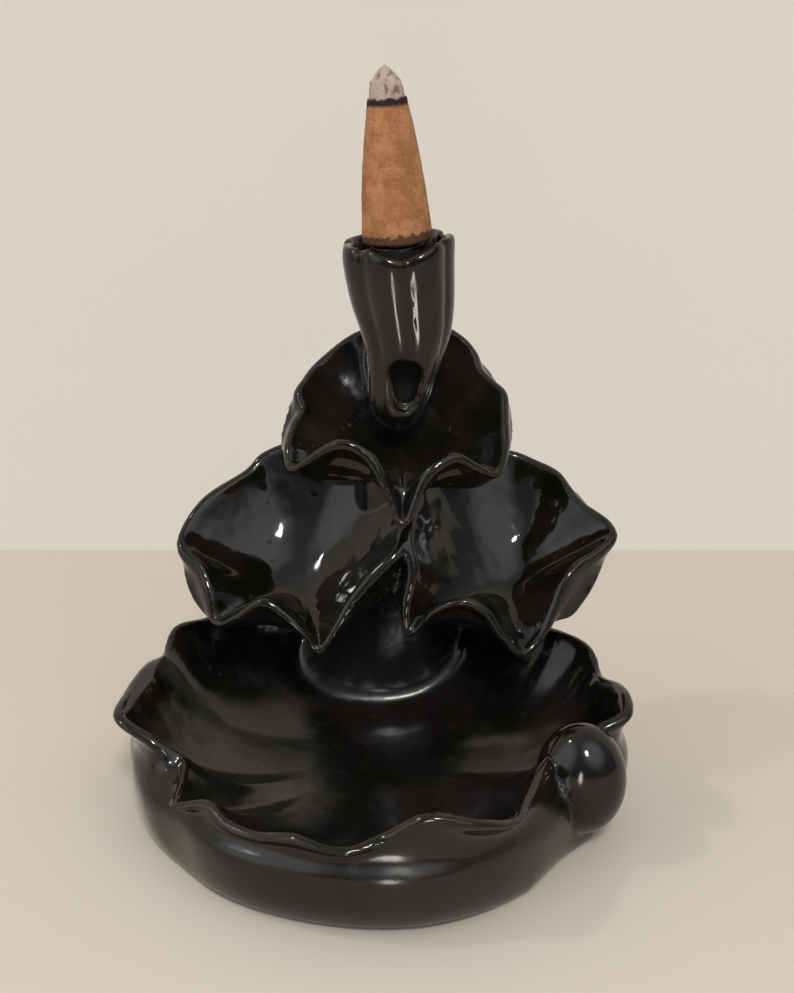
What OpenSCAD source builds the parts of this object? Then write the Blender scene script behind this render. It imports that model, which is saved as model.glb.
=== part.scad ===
// Backflow incense burner: a glazed lotus of three ruffled leaves over a ruffled dish,
// with a petal cup on top that holds a cone. Smoke sinks through the cone's bore and the
// cup's passage, leaves by the arched mouth, and pours from leaf to leaf into the dish.
// The origin is the middle of the foot, on the table; the front is -Y and up is +Z.

/* [Dish] */
// Width of the dish across its rim
dish_w = 92.5; // [85:1:110]
// Depth of the dish from front to back
dish_d = 86; // [78:1:100]
// Height of the rim's highest wave above the table
dish_h = 27; // [23:1:34]
// Height between the lowest and the highest wave of the rim
dish_wave = 11; // [6:0.5:13]
// Height of the dish's floor above the table
dish_floor_h = 7; // [5:0.5:10]
// Distance of the floor's middle behind the foot's middle
dish_back = 3; // [0:0.5:5]
// Thickness of the dish's wall at the rim
dish_wall = 2.4; // [2:0.1:3.5]
// How far the belly stands out below the rim
belly = 2.2; // [1:0.1:5]
// Height of the belly's widest line
belly_h = 12; // [8:0.5:14]
// Diameter of the flat unglazed foot
foot_d = 82; // [70:1:84]
// How far the foot stays inside the belly at least
foot_in = 3; // [2:0.5:6]

/* [Leaves] */
// Wall of the leaves at the rim
leaf_wall = 2.3; // [2:0.1:3.5]
// How far the leaves bulge outside their rims
leaf_belly = 3; // [1:0.1:5]
// Thickness of the leaves at the middle of the floor
leaf_floor = 4; // [3:0.5:6]
// Thickness of a leaf's front, which is hollow under its rim
leaf_front = 3.2; // [2.6:0.1:4]
// How far a leaf's front draws in under its rim
leaf_draw = 2; // [0:0.1:3]
// How far the walls of a leaf run down before they turn to the stem
leaf_wall_h = 9; // [6:0.5:12]
// Width of the upper leaf
upper_w = 39.5; // [34:0.5:50]
// Depth of the upper leaf from front to back
upper_d = 30.5; // [26:0.5:36]
// Height from the upper leaf's spout to its back rim
upper_h = 30; // [24:0.5:36]
// Height of the upper leaf's floor above the table
upper_z = 63.5; // [60:0.5:72]
// Width of the left leaf
left_w = 41.5; // [36:0.5:50]
// Depth of the left leaf from front to back
left_d = 27.5; // [24:0.5:34]
// Height from the left leaf's spout to its back rim
left_h = 31.5; // [26:0.5:36]
// Width of the right leaf
right_w = 39; // [34:0.5:46]
// Depth of the right leaf from front to back
right_d = 28; // [24:0.5:34]
// Height from the right leaf's spout to its back rim
right_h = 31; // [26:0.5:36]
// Height of the two lower leaves' floors above the table
lower_z = 38.5; // [36:0.5:44]
// Distance from the left leaf's middle to the right leaf's middle
lower_span = 40.5; // [36:0.5:46]

/* [Stem] */
// Distance of the upper leaf's middle behind the dish's middle
upper_y = 15; // [13:0.5:17]
// Distance of the lower leaves' middles behind the dish's middle
lower_y = 17; // [15:0.5:19]
// Distance of the stem's foot behind the dish's middle
stem_y = 30.5; // [28:0.5:32]
// Distance of the upper leaf, cup and stem to the right of the dish's middle
side_x = 4.2; // [0:0.2:6]
// Width of the stem where it rises from the dish
stem_foot_w = 42; // [36:1:48]
// Depth of the stem where it rises from the dish
stem_foot_d = 14; // [12:0.5:18]
// Width of the stem between the upper and lower leaves
stem_neck_w = 17; // [14:0.5:24]
// Depth of the stem between the upper and lower leaves
stem_neck_d = 18; // [14:0.5:24]

/* [Cup] */
// Width of the cup across its petals
cup_w = 20.8; // [17.5:0.5:24]
// Height from the cup's lower tip to the seat
cup_h = 34.9; // [32:0.1:37]
// Height of the cup's lower tip above the upper leaf's floor
cup_lift = 6.5; // [5.5:0.1:8]
// Distance of the cup's lower tip in front of its seat
tip_front = 1.5; // [0:0.1:3]
// Number of petals around the cup
petals = 7; // [5:1:9]
// Depth of the fold where one petal tucks under the next
petal_fold = 0.9; // [0:0.1:1.2]
// How far each petal bulges between its folds
petal_bulge = 0.6; // [0:0.1:1]
// Depth of the open notch in the front of the cup's rim
front_notch = 2.2; // [0:0.1:3]
// Depth of the dips in the rest of the cup's rim
rim_dip = 0.6; // [0:0.1:1]
// Height of the cup's rim above the seat
rim_rise = 0.3; // [0:0.1:3]
// Thickness of the cup's rim
cup_wall = 1.6; // [1.2:0.1:2.2]
// Diameter of the seat ring that carries the cone
seat_d = 9.6; // [8:0.2:11]
// Depth of the moat around the seat ring
moat_h = 3; // [1.5:0.1:4]
// Diameter of the smoke passage under the seat
passage_d = 5; // [4.5:0.1:6]
// Width of the arched mouth
mouth_w = 7.4; // [5.5:0.1:8]
// Height of the arched mouth
mouth_h = 10.6; // [8:0.1:12]
// Slope of the mouth's floor towards the front
mouth_slope = 14; // [0:1:25]
// Height of the mouth's floor above the cup's lower tip
mouth_lift = 6.6; // [6:0.1:7.5]
// Distance of the mouth to the right of the cup's lower tip
mouth_side = 1.2; // [0:0.1:1.5]

/* [Knob] */
// Width of the knob on the dish's rim
knob_w = 14.6; // [10:0.2:20]
// Depth of the knob from inside the dish to outside
knob_d = 16.4; // [12:0.2:20]
// Height of the knob
knob_h = 21; // [14:0.5:26]
// Height of the knob's middle above the table
knob_z = 14.5; // [12:0.5:17]
// Bearing of the knob around the dish
knob_turn = -25; // [-40:1:-15]
// Distance from the dish's widest rim back to the knob's middle
knob_inset = 5.5; // [2:0.5:8]

/* [Cone] */
// Diameter of the cone's base
cone_d = 12.7; // [11:0.1:14]
// Height of the unburnt cone
cone_h = 25.2; // [18:0.2:30]
// Diameter of the cone at the burnt edge
cone_top_d = 6.9; // [5:0.1:9]
// How far the cone's side swells at half its height
cone_swell = 0.4; // [0:0.1:0.8]
// Rounding of the cone's lower edge
cone_edge = 0.5; // [0.2:0.1:1]
// Diameter of the ash
ash_d = 6; // [4:0.1:7]
// Height of the ash up to its shoulder
ash_h = 2.9; // [1:0.1:8]
// Height of the ash's peak above its shoulder
ash_peak = 3.1; // [1:0.1:5]
// Diameter of the bore in the cone's base
bore_d = 4; // [3.5:0.1:5]
// Depth of the bore in the cone's base
bore_h = 18; // [12:0.5:22]
// Lean of the cone and its seat to the left
lean = 4.2; // [0:0.1:6]
// Room between the cone and its seat
seat_gap = 0.1; // [0.05:0.05:0.3]

/* [Hidden] */

// Steps between two posts of a rim, and sides of a round stem
leaf_steps = 3;
dish_steps = 3;
round_sides = 20;
petal_sides = 6;
cone_sides = 6;

// Posts of each leaf's rim, from its spout and anticlockwise, measured from its floor's middle
upper_rim = [
    [1, -15, -6.5], [5, -13, 1.5], [10.5, -11, 5], [15.5, -9.5, 2.5], [19, -7, 0.5],
    [20.5, -2.5, 4], [20.5, 2.5, 9], [20.5, 5.5, 12], [18.5, 7.5, 13.5], [16, 9.5, 15.5],
    [15, 11.5, 18], [12.5, 13.5, 20.5], [8, 15, 22.5], [0.5, 15.5, 23.5], [-7, 14.5, 21.5],
    [-11, 13.5, 19.5], [-16, 10.5, 16], [-18, 8, 14], [-19.5, 5.5, 12], [-18.5, 3, 9.5],
    [-20, 0, 7.5], [-21, -4, 4.5], [-20.5, -7, 1.5], [-18, -9.5, 3.5], [-11.5, -11, 7.5],
    [-5.5, -12, 5.5], [-2, -13.5, -0.5]];
left_rim = [
    [5, -14.5, -7.5], [8.5, -14.5, -2.5], [11.5, -13.5, 2], [15.5, -12, 6.5], [20.5, -9, 11],
    [20.5, -1, 15.5], [17.5, 7, 19.5], [9.5, 12.5, 23], [0.5, 13, 24], [-6.5, 12, 22],
    [-10, 10, 19], [-17.5, 5, 15.5], [-21.5, 1, 11], [-22, -3, 8], [-18.5, -5.5, 5.5],
    [-16.5, -8, 1.5], [-15, -10, -4], [-11, -12, -2], [-6, -13, 1.5], [-1.5, -14, -0.5],
    [2.5, -14.5, -4.5]];
right_rim = [
    [-18, -13, -5], [-14, -14, 0], [-8.5, -15, 2.5], [-4, -15, 0], [-1.5, -15, -4],
    [2.5, -14, -8.5], [6.5, -12, -5.5], [9, -10, -0.5], [11, -8.5, 4], [13.5, -6.5, 6.5],
    [17, -4.5, 8], [20, -2, 10], [19, 1, 12], [14.5, 4, 14.5], [12, 6.5, 17], [10, 9.5, 19],
    [6, 11.5, 20.5], [1, 13, 22],
    [-7, 12, 22.5], [-14, 7, 21.5], [-17, -1, 17.5], [-18.5, -7.5, 12.5], [-17.5, -10.5, 6.5],
    [-18.5, -12, 0]];
// Posts of the dish's rim: bearing, reach and height
dish_rim = [
    [0, 46.5, 25], [11, 44.6, 23], [19, 44.6, 26], [28, 41.5, 27], [42, 40, 26], [58, 38.5, 27],
    [75, 38, 25], [92, 38.5, 27], [110, 40, 26], [127, 43, 27], [141, 45, 26], [150, 47.4, 26],
    [157, 46.2, 23], [168, 46, 24.5], [182, 47, 24.5], [193, 48.6, 24], [199.5, 43.5, 21.5],
    [203.5, 38.8, 18], [211, 41, 16.3], [219, 45.2, 16.5], [227, 42.8, 18.2], [235, 43.8, 17],
    [243, 44.2, 17], [253, 45.6, 19], [264, 47, 18.4], [272, 45.4, 20], [281, 46.8, 24],
    [291, 48.5, 22.6], [301, 46.8, 20], [310, 42, 20], [321, 38.5, 20.5], [333, 37.5, 20.5],
    [340, 39.5, 21], [343.5, 44, 23], [347, 47.8, 24.5], [353, 47.6, 25.5]];

// Directions in which the leaves' bowls sink, away from their openings
upper_sink = [0, 0.55, -0.84];
left_sink = [0.18, 0.6, -0.78];
right_sink = [-0.18, 0.6, -0.78];

// Middles of the dish's and the leaves' floors
dish_at = [0, dish_back, dish_floor_h];
upper_at = [side_x, upper_y, upper_z];
left_at = [side_x + 0.5 - lower_span / 2, lower_y, lower_z];
right_at = left_at + [lower_span, 0, 0];
// The cup's lower tip, and the middle of its seat
tip_at = [side_x + 0.2, upper_y - tip_front, upper_z + cup_lift];
seat_at = [side_x - 0.1, upper_y, tip_at.z + cup_h];
eps = 0.01;

function unit(v) = v / norm(v);
function total(v, i = 0) = i == len(v) - 1 ? v[i] : v[i] + total(v, i + 1);
function turned(bearing, reach, z) = [reach * cos(bearing), reach * sin(bearing), z];
function mixed(a, b, share) = a * (1 - share) + b * share;

// Lowest and highest value of one coordinate of a list of points
function low(points, k) = min([for (p = points) p[k]]);
function high(points, k) = max([for (p = points) p[k]]);

// Posts stretched to a named width, depth and height
function fitted(posts, w, d, h) =
    let (s = [w / (high(posts, 0) - low(posts, 0)), d / (high(posts, 1) - low(posts, 1)),
              h / (high(posts, 2) - low(posts, 2))])
    [for (p = posts) [p.x * s.x, p.y * s.y, p.z * s.z]];

// A closed smooth line through posts
function between(a, b, c, d, t) =
    (2 * b + (c - a) * t + (2 * a - 5 * b + 4 * c - d) * t ^ 2 + (3 * b - a - 3 * c + d) * t ^ 3) / 2;
function smooth_line(posts, steps) =
    let (n = len(posts))
    [for (i = [0 : n - 1], k = [0 : steps - 1])
        between(posts[(i + n - 1) % n], posts[i], posts[(i + 1) % n], posts[(i + 2) % n], k / steps)];

// The line with its waves ironed out
function ironed(line, reach) =
    let (n = len(line))
    [for (i = [0 : n - 1]) total([for (k = [-reach : reach]) line[(i + k + n) % n]]) / (2 * reach + 1)];

// Directions that point out of the line, square to the way the bowl sinks
function outward(line, sink, at) =
    let (n = len(line))
    [for (i = [0 : n - 1])
        let (along = line[(i + 1) % n] - line[(i + n - 1) % n],
             away = line[i] - at,
             flat = away - (away * sink) * sink)
        unit(unit(cross(along, -sink)) + unit(flat))];

// A closed skin over rows of points; the first and last rows are single points
module skin(rows) {
    n = len(rows[1]);
    rings = len(rows) - 2;
    last = rings * n + 1;
    points = [for (row = rows, p = row) p];
    faces = concat(
        [for (i = [0 : n - 1]) [0, 1 + (i + 1) % n, 1 + i]],
        [for (k = [0 : rings - 2], i = [0 : n - 1])
            let (a = 1 + k * n, b = a + n, j = (i + 1) % n)
            each [[a + i, b + j, b + i], [a + i, a + j, b + j]]],
        [for (i = [0 : n - 1]) [last - n + i, last - n + (i + 1) % n, last]]);
    polyhedron(points, faces, convexity = 8);
}

// How far a rim's inner and outer edges lie below its crown, as shares of the wall
inner_drop = 0.3;
outer_drop = 0.4;
// Shares of the way from a leaf's floor to its rim, and how steeply its bowl rises
bowl_shares = [0.28, 0.52, 0.72, 0.88];
bowl_rise = 2;
// How soon a rim's waves fade inside its bowl
wave_fade = 1.3;
// How far a rim must face forwards to be part of a leaf's front, and to be wholly so
front_from = 0.4;
front_to = 0.8;
// Outside of a leaf: shares of the way from the rim to the belly, and how far they sag
side_shares = [[0.38, 0.12], [0.75, 0.1]];
belly_drop = 0.45;
// Shares of the way from the belly back to the middle, and of the way down to the stem
under_shares = [[0.88, 0.45], [0.55, 0.85]];

// A rim's point brought into its bowl, by the share of the way from the floor's middle
function sunk(p, at, sink, share) =
    let (d = (p - at) * sink) at + (p - at - d * sink) * share + sink * d * share ^ bowl_rise;

// A ruffled bowl: inner floor, rounded rim, belly and underside
module leaf(posts, at, sink_way) {
    sink = unit(sink_way);
    rim = [for (p = smooth_line(posts, leaf_steps)) p + at];
    n = len(rim);
    out = outward(rim, sink, at);
    calm = ironed(rim, round(n / 8));
    calm_out = outward(calm, sink, at);
    front = [for (o = calm_out) max(0, min(1, (-o.y - front_from) / (front_to - front_from)))];
    belly_line = [for (i = [0 : n - 1])
        calm[i] + calm_out[i] * (leaf_wall / 2 + mixed(leaf_belly, -leaf_draw, front[i]))
            + sink * leaf_wall_h * belly_drop];
    inner = [for (i = [0 : n - 1]) rim[i] - out[i] * leaf_wall / 2 + sink * leaf_wall * inner_drop];
    calm_inner = [for (i = [0 : n - 1])
        calm[i] - calm_out[i] * leaf_wall / 2 + sink * leaf_wall * inner_drop];
    edge = [for (i = [0 : n - 1]) rim[i] + out[i] * leaf_wall / 2 + sink * leaf_wall * outer_drop];
    inside = [for (s = concat(bowl_shares, [for (u = under_shares) u[0]])) [for (i = [0 : n - 1])
        sunk(mixed(calm_inner[i], inner[i], s ^ wave_fade), at, sink, s)]];
    bowl_rows = len(bowl_shares);
    under = [for (k = [0 : len(under_shares) - 1]) [for (i = [0 : n - 1])
        let (s = under_shares[k], p = belly_line[i], d = (p - at) * sink,
             full = at + (p - at - d * sink) * s[0] + sink * mixed(d, leaf_floor, s[1]))
        mixed(full, inside[bowl_rows + k][i] + sink * leaf_front, front[i])]];
    side = [for (s = side_shares) [for (i = [0 : n - 1])
        mixed(edge[i], belly_line[i], s[0]) + sink * leaf_wall_h * s[1]]];
    skin(concat([[at]], [for (k = [0 : bowl_rows - 1]) inside[k]], [inner, rim, edge], side, under,
                [[at + sink * leaf_floor]]));
}

// The dish: a flat floor that sweeps up to the waves, over a calm round belly
dish_shares = [0.4, 0.64, 0.8, 0.91];
dish_rise = 4.5;
// Rows under the rim: share of the calm line, height above the belly, and push outwards
wall_shares = [[0.45, 0.74, 0.35], [0.8, 0.4, 0.75]];
// Rows from the belly round to the foot, as turns along a quarter of an ellipse
belly_turns = [0, 28, 54, 78, 90];
// Clay under the foot that is ground away to make it flat
ground = 1;
module dish() {
    top = high(dish_rim, 2);
    tall = [for (p = dish_rim)
        turned(p[0], p[1], dish_h - (top - p[2]) * dish_wave / (top - low(dish_rim, 2)))];
    sx = dish_w / (high(tall, 0) - low(tall, 0));
    sy = dish_d / (high(tall, 1) - low(tall, 1));
    rim = smooth_line([for (p = tall) [p.x * sx, p.y * sy, p.z]], dish_steps);
    n = len(rim);
    down = [0, 0, -1];
    out = outward(rim, down, dish_at);
    calm = ironed(rim, round(n / 14));
    calm_out = outward(calm, down, dish_at);
    inner = [for (i = [0 : n - 1]) rim[i] - out[i] * dish_wall / 2 + down * dish_wall * inner_drop];
    edge = [for (i = [0 : n - 1]) rim[i] + out[i] * dish_wall / 2 + down * dish_wall * outer_drop];
    inside = [for (s = dish_shares) [for (p = inner)
        let (v = p - dish_at) dish_at + [v.x * s, v.y * s, v.z * s ^ dish_rise]]];
    upper_belly = [for (r = wall_shares) [for (i = [0 : n - 1])
        let (p = mixed(edge[i], calm[i] + calm_out[i] * belly * r[2], r[0]))
        [p.x, p.y, belly_h + (p.z - belly_h) * r[1]]]];
    lower_belly = [for (turn = belly_turns) [for (i = [0 : n - 1])
        let (p = calm[i] + calm_out[i] * (dish_wall / 2 + belly),
             foot = unit([p.x, p.y, 0]) * min(foot_d / 2, norm([p.x, p.y]) - foot_in),
             q = mixed(foot, p, cos(turn)))
        [q.x, q.y, belly_h * (1 - sin(turn))]]];
    skin(concat(
        [[dish_at]],
        inside,
        [inner, rim, edge],
        upper_belly,
        lower_belly,
        [[for (p = lower_belly[len(belly_turns) - 1]) [p.x, p.y, -ground]]],
        [[[0, 0, -ground]]]));
}

module knob() {
    translate(turned(knob_turn, dish_w / 2 - knob_inset, knob_z))
        rotate(knob_turn)
            scale([knob_d, knob_w, knob_h] / knob_h)
                sphere(d = knob_h, $fn = round_sides);
}

// Rings of the stem's root: share of the way to the cup's side, distance behind the stem's foot,
// height as a share of the lower leaves' height, then width and depth as shares of the foot's
root_rings = [
    [0, -0.5, 0.13, 1, 1], [0, 0, 0.21, 1, 1.05], [0.1, 0.5, 0.32, 0.86, 0.9],
    [0.3, 0.5, 0.52, 0.74, 0.9], [0.5, -0.5, 0.83, 0.6, 1.1], [1, -4, 1.09, 0.5, 1.3]];
// Rings of the stem's neck: distance behind the upper leaf's middle, share of the way from the
// lower leaves' floors to the seat, then width and depth as shares of the neck's
neck_rings = [
    [11, 0.17, 1.06, 0.8], [11, 0.38, 0.85, 0.75], [12.5, 0.53, 0.75, 0.6],
    [11.5, 0.66, 0.7, 0.55], [7, 0.77, 0.62, 0.5], [0, 0.85, 0.45, 0.3]];
function oval(at, w, d) = [for (i = [0 : round_sides - 1])
    let (a = 360 * i / round_sides) [at.x + w / 2 * cos(a), at.y + d / 2 * sin(a), at.z]];
module stem() {
    root = [for (r = root_rings)
        oval([side_x * r[0], stem_y + r[1], lower_z * r[2]], stem_foot_w * r[3], stem_foot_d * r[4])];
    neck = [for (r = neck_rings)
        oval([side_x, upper_y + r[0], mixed(lower_z, seat_at.z, r[1])],
             stem_neck_w * r[2], stem_neck_d * r[3])];
    rings = concat(root, neck);
    top = len(rings) - 1;
    skin(concat(
        [[total(rings[top]) / round_sides]],
        [for (i = [0 : top]) rings[top - i]],
        [[total(rings[0]) / round_sides]]));
}

// The cup: petals that close to a tip, with a seat ring in a moat for the cone
cup_sides = petals * petal_sides;
front_turn = -84;
// Share of a petal that its rim's dip takes, and the half angle of the front notch
dip_share = 0.2;
notch_turn = 42;
// Flare of the seat ring, and room between the moat and the petals' folds
seat_flare = 0.4;
moat_room = 0.3;
// Drop of the rim's edges from its crown, as a share of the wall
cup_round = 0.2;
// Place within a petal, from the fold where it tucks under to the fold where it lies on top
function petal_place(a) = let (t = (a - front_turn) * petals / 360) t - floor(t);
function tucked(a) = let (t = petal_place(a))
    petal_fold * (1 - t) ^ 2 + petal_bulge * (1 - 4 * t * (1 - t));
function notched(a) = let (t = petal_place(a)) max(0, 1 - min(t, 1 - t) / dip_share);
function front_dip(a) = max(0, 1 - acos(cos(a - front_turn)) / notch_turn);
function cup_row(at, r, share) = [for (i = [0 : cup_sides - 1])
    let (a = front_turn + 360 * i / cup_sides, s = r - share * tucked(a))
    [at.x + s * cos(a), at.y + s * sin(a), at.z]];
function rim_row(r, lift) = [for (i = [0 : cup_sides - 1])
    let (a = front_turn + 360 * i / cup_sides, s = r - tucked(a))
    [seat_at.x + s * cos(a), seat_at.y + s * sin(a),
     seat_at.z + rim_rise + lift + tan(lean) * s * cos(a)
         - max(front_notch * front_dip(a), rim_dip * notched(a))]];
function seat_row(r, drop) = [for (i = [0 : cup_sides - 1])
    let (a = front_turn + 360 * i / cup_sides)
    [seat_at.x + r * cos(a), seat_at.y + r * sin(a), seat_at.z + tan(lean) * r * cos(a) - drop]];
// Rows of the cup's outside: its middle beside and behind the line from tip to seat, then its
// height, its width and its folds, each as a share of the cup's own
cup_rows = [
    [0, 0, 0.89, 1, 1], [0.06, 0.02, 0.7, 0.94, 1], [0.12, -0.04, 0.54, 0.82, 0.9],
    [0.1, -0.06, 0.4, 0.69, 0.7], [0.05, -0.03, 0.29, 0.62, 0.5], [0, 0.02, 0.19, 0.56, 0.3],
    [-0.03, 0.03, 0.09, 0.44, 0.1], [-0.02, 0.02, 0.03, 0.27, 0]];
module cup() {
    half = cup_w / 2;
    moat_r = half - cup_wall - petal_fold - petal_bulge - moat_room;
    skin(concat(
        [[seat_at]],
        [seat_row(seat_d / 2, 0), seat_row(seat_d / 2 + seat_flare, moat_h), seat_row(moat_r, moat_h),
         rim_row(half - cup_wall, 0), rim_row(half - cup_wall / 2, cup_wall * cup_round),
         rim_row(half, -cup_wall * cup_round)],
        [for (k = cup_rows)
            let (at = mixed(tip_at, seat_at, k[2]) + [half * k[0], half * k[1], 0])
            cup_row(at, half * k[3], k[4])],
        [[tip_at]]));
}

// Width of the mouth's foot as a share of the arch
mouth_foot = 0.6;
// The passage: down from the seat, and out through the arched mouth
module passage() {
    mouth_at = [tip_at.x + mouth_side, seat_at.y - passage_d / 5, tip_at.z + mouth_lift];
    foot_r = mouth_w * mouth_foot / 2;
    hull() {
        translate([seat_at.x, seat_at.y, seat_at.z + 1])
            cylinder(d = passage_d, h = eps, $fn = round_sides);
        translate([mouth_at.x, mouth_at.y - passage_d / 2, mouth_at.z + mouth_h / 2])
            sphere(d = passage_d, $fn = round_sides);
    }
    translate(mouth_at)
        rotate([90 + mouth_slope, 0, 0])
            linear_extrude(seat_at.y)
                hull() {
                    translate([0, mouth_h - mouth_w / 2]) circle(d = mouth_w, $fn = round_sides);
                    translate([0, foot_r]) circle(r = foot_r, $fn = round_sides);
                }
}

module burner_body() {
    difference() {
        color("#1b1613") difference() {
            union() {
                dish();
                leaf(fitted(left_rim, left_w, left_d, left_h), left_at, left_sink);
                leaf(fitted(right_rim, right_w, right_d, right_h), right_at, right_sink);
                leaf(fitted(upper_rim, upper_w, upper_d, upper_h), upper_at, upper_sink);
                knob();
                stem();
                cup();
            }
            passage();
        }
        // The foot is ground flat on the table
        translate([0, 0, -dish_h]) cylinder(d = 2 * dish_w, h = dish_h);
    }
}

// The cone: pressed powder with a bore, burnt at the top, leaning with its seat
module incense_cone() {
    base_r = cone_d / 2;
    top_r = cone_top_d / 2;
    side = [for (k = [0 : cone_sides])
        let (t = k / cone_sides)
        [base_r + (top_r - base_r) * t + 4 * cone_swell * t * (1 - t),
         cone_edge + (cone_h - cone_edge) * t]];
    color("#a8683f")
        translate(seat_at)
            rotate([0, -lean, 0])
                translate([0, 0, seat_gap])
                    difference() {
                        rotate_extrude($fn = 64)
                            polygon(concat(
                                [[0, 0], [base_r - cone_edge, 0]],
                                side,
                                [[ash_d / 2, cone_h], [ash_d / 2, cone_h + ash_h],
                                 [ash_d / 4, cone_h + ash_h + ash_peak * 0.6],
                                 [0, cone_h + ash_h + ash_peak]]));
                        translate([0, 0, -1]) cylinder(d = bore_d, h = bore_h + 1, $fn = 48);
                    }
}

burner_body();
incense_cone();
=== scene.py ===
# %% [markdown]
# A backflow incense burner, step by step
# The object is a glazed lotus of three ruffled leaves over a ruffled dish, fired in one piece,
# with a petal cup on top. A pressed incense cone stands on the cup's seat. This file dresses the
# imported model: it makes the same forms again with fine meshes, gives them their glaze, powder
# and ash, and sets up the floor, the lamps and the camera.

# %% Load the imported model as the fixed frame
import math

import bmesh
import bpy
import numpy as np
from mathutils import Matrix, Vector, noise
from mathutils.kdtree import KDTree


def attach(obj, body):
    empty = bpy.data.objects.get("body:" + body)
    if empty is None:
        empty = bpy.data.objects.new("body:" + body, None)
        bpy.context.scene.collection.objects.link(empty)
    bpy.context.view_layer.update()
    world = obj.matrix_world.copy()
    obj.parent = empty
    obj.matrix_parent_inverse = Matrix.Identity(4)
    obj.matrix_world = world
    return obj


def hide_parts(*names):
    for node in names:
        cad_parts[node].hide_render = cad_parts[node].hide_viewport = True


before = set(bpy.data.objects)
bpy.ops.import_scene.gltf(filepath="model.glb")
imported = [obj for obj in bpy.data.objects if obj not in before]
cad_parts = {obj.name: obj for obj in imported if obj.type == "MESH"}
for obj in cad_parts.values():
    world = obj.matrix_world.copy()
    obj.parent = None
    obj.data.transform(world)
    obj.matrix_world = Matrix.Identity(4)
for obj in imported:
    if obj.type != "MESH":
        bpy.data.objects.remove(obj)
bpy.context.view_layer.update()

# %% [markdown]
# All lengths below are millimetres, as a maker would write them, and become metres only when a
# mesh is made. Each piece is placed by the same sizes as the solid that it dresses.

# %% Millimetres to metres
MM = 0.001


def vec(*numbers):
    """A short way to write a point or direction."""
    return np.array(numbers, float)


def unit(vectors):
    """Vectors of length one, for one vector or for a whole array of them."""
    return vectors / np.linalg.norm(vectors, axis=-1, keepdims=True)


def added(name, data):
    """A new object in the scene that holds a mesh, a lamp or a camera."""
    obj = bpy.data.objects.new(name, data)
    bpy.context.scene.collection.objects.link(obj)
    return obj


# %% [markdown]
# The camera stands where the photograph was taken from: about 31 cm away, a little above the
# cone's tip, tilted down. Its long lens keeps the leaves from looking stretched.

# %% The camera
CAMERA_AT = vec(4.0, -287.2, 163.5)
CAMERA_DOWN = 19.5
CAMERA_LENS = 77.08

camera = added("camera", bpy.data.cameras.new("camera"))
camera.location = CAMERA_AT * MM
camera.rotation_euler = (math.radians(90 - CAMERA_DOWN), 0, 0)
camera.data.sensor_fit = "HORIZONTAL"
camera.data.sensor_width = 36
camera.data.lens = CAMERA_LENS
camera.data.clip_start = 0.01
bpy.context.scene.camera = camera

# %% [markdown]
# A leaf of clay is a bowl pressed from a slab, with its rim pinched into waves by hand. The rim
# carries the character, so a few posts describe it, from the spout round to the spout again, and
# a smooth line runs through them. They are measured from the middle of the leaf's floor.

# %% The rims, as posts on a smooth line
UPPER_RIM = [
    [1, -15, -6.5], [5, -13, 1.5], [10.5, -11, 5], [15.5, -9.5, 2.5], [19, -7, 0.5],
    [20.5, -2.5, 4], [20.5, 2.5, 9], [20.5, 5.5, 12], [18.5, 7.5, 13.5], [16, 9.5, 15.5],
    [15, 11.5, 18], [12.5, 13.5, 20.5], [8, 15, 22.5], [0.5, 15.5, 23.5], [-7, 14.5, 21.5],
    [-11, 13.5, 19.5], [-16, 10.5, 16], [-18, 8, 14], [-19.5, 5.5, 12], [-18.5, 3, 9.5],
    [-20, 0, 7.5], [-21, -4, 4.5], [-20.5, -7, 1.5], [-18, -9.5, 3.5], [-11.5, -11, 7.5],
    [-5.5, -12, 5.5], [-2, -13.5, -0.5]]
LEFT_RIM = [
    [5, -14.5, -7.5], [8.5, -14.5, -2.5], [11.5, -13.5, 2], [15.5, -12, 6.5], [20.5, -9, 11],
    [20.5, -1, 15.5], [17.5, 7, 19.5], [9.5, 12.5, 23], [0.5, 13, 24], [-6.5, 12, 22],
    [-10, 10, 19], [-17.5, 5, 15.5], [-21.5, 1, 11], [-22, -3, 8], [-18.5, -5.5, 5.5],
    [-16.5, -8, 1.5], [-15, -10, -4], [-11, -12, -2], [-6, -13, 1.5], [-1.5, -14, -0.5],
    [2.5, -14.5, -4.5]]
RIGHT_RIM = [
    [-18, -13, -5], [-14, -14, 0], [-8.5, -15, 2.5], [-4, -15, 0], [-1.5, -15, -4],
    [2.5, -14, -8.5], [6.5, -12, -5.5], [9, -10, -0.5], [11, -8.5, 4], [13.5, -6.5, 6.5],
    [17, -4.5, 8], [20, -2, 10], [19, 1, 12], [14.5, 4, 14.5], [12, 6.5, 17], [10, 9.5, 19],
    [6, 11.5, 20.5], [1, 13, 22],
    [-7, 12, 22.5], [-14, 7, 21.5], [-17, -1, 17.5], [-18.5, -7.5, 12.5], [-17.5, -10.5, 6.5],
    [-18.5, -12, 0]]
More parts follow.
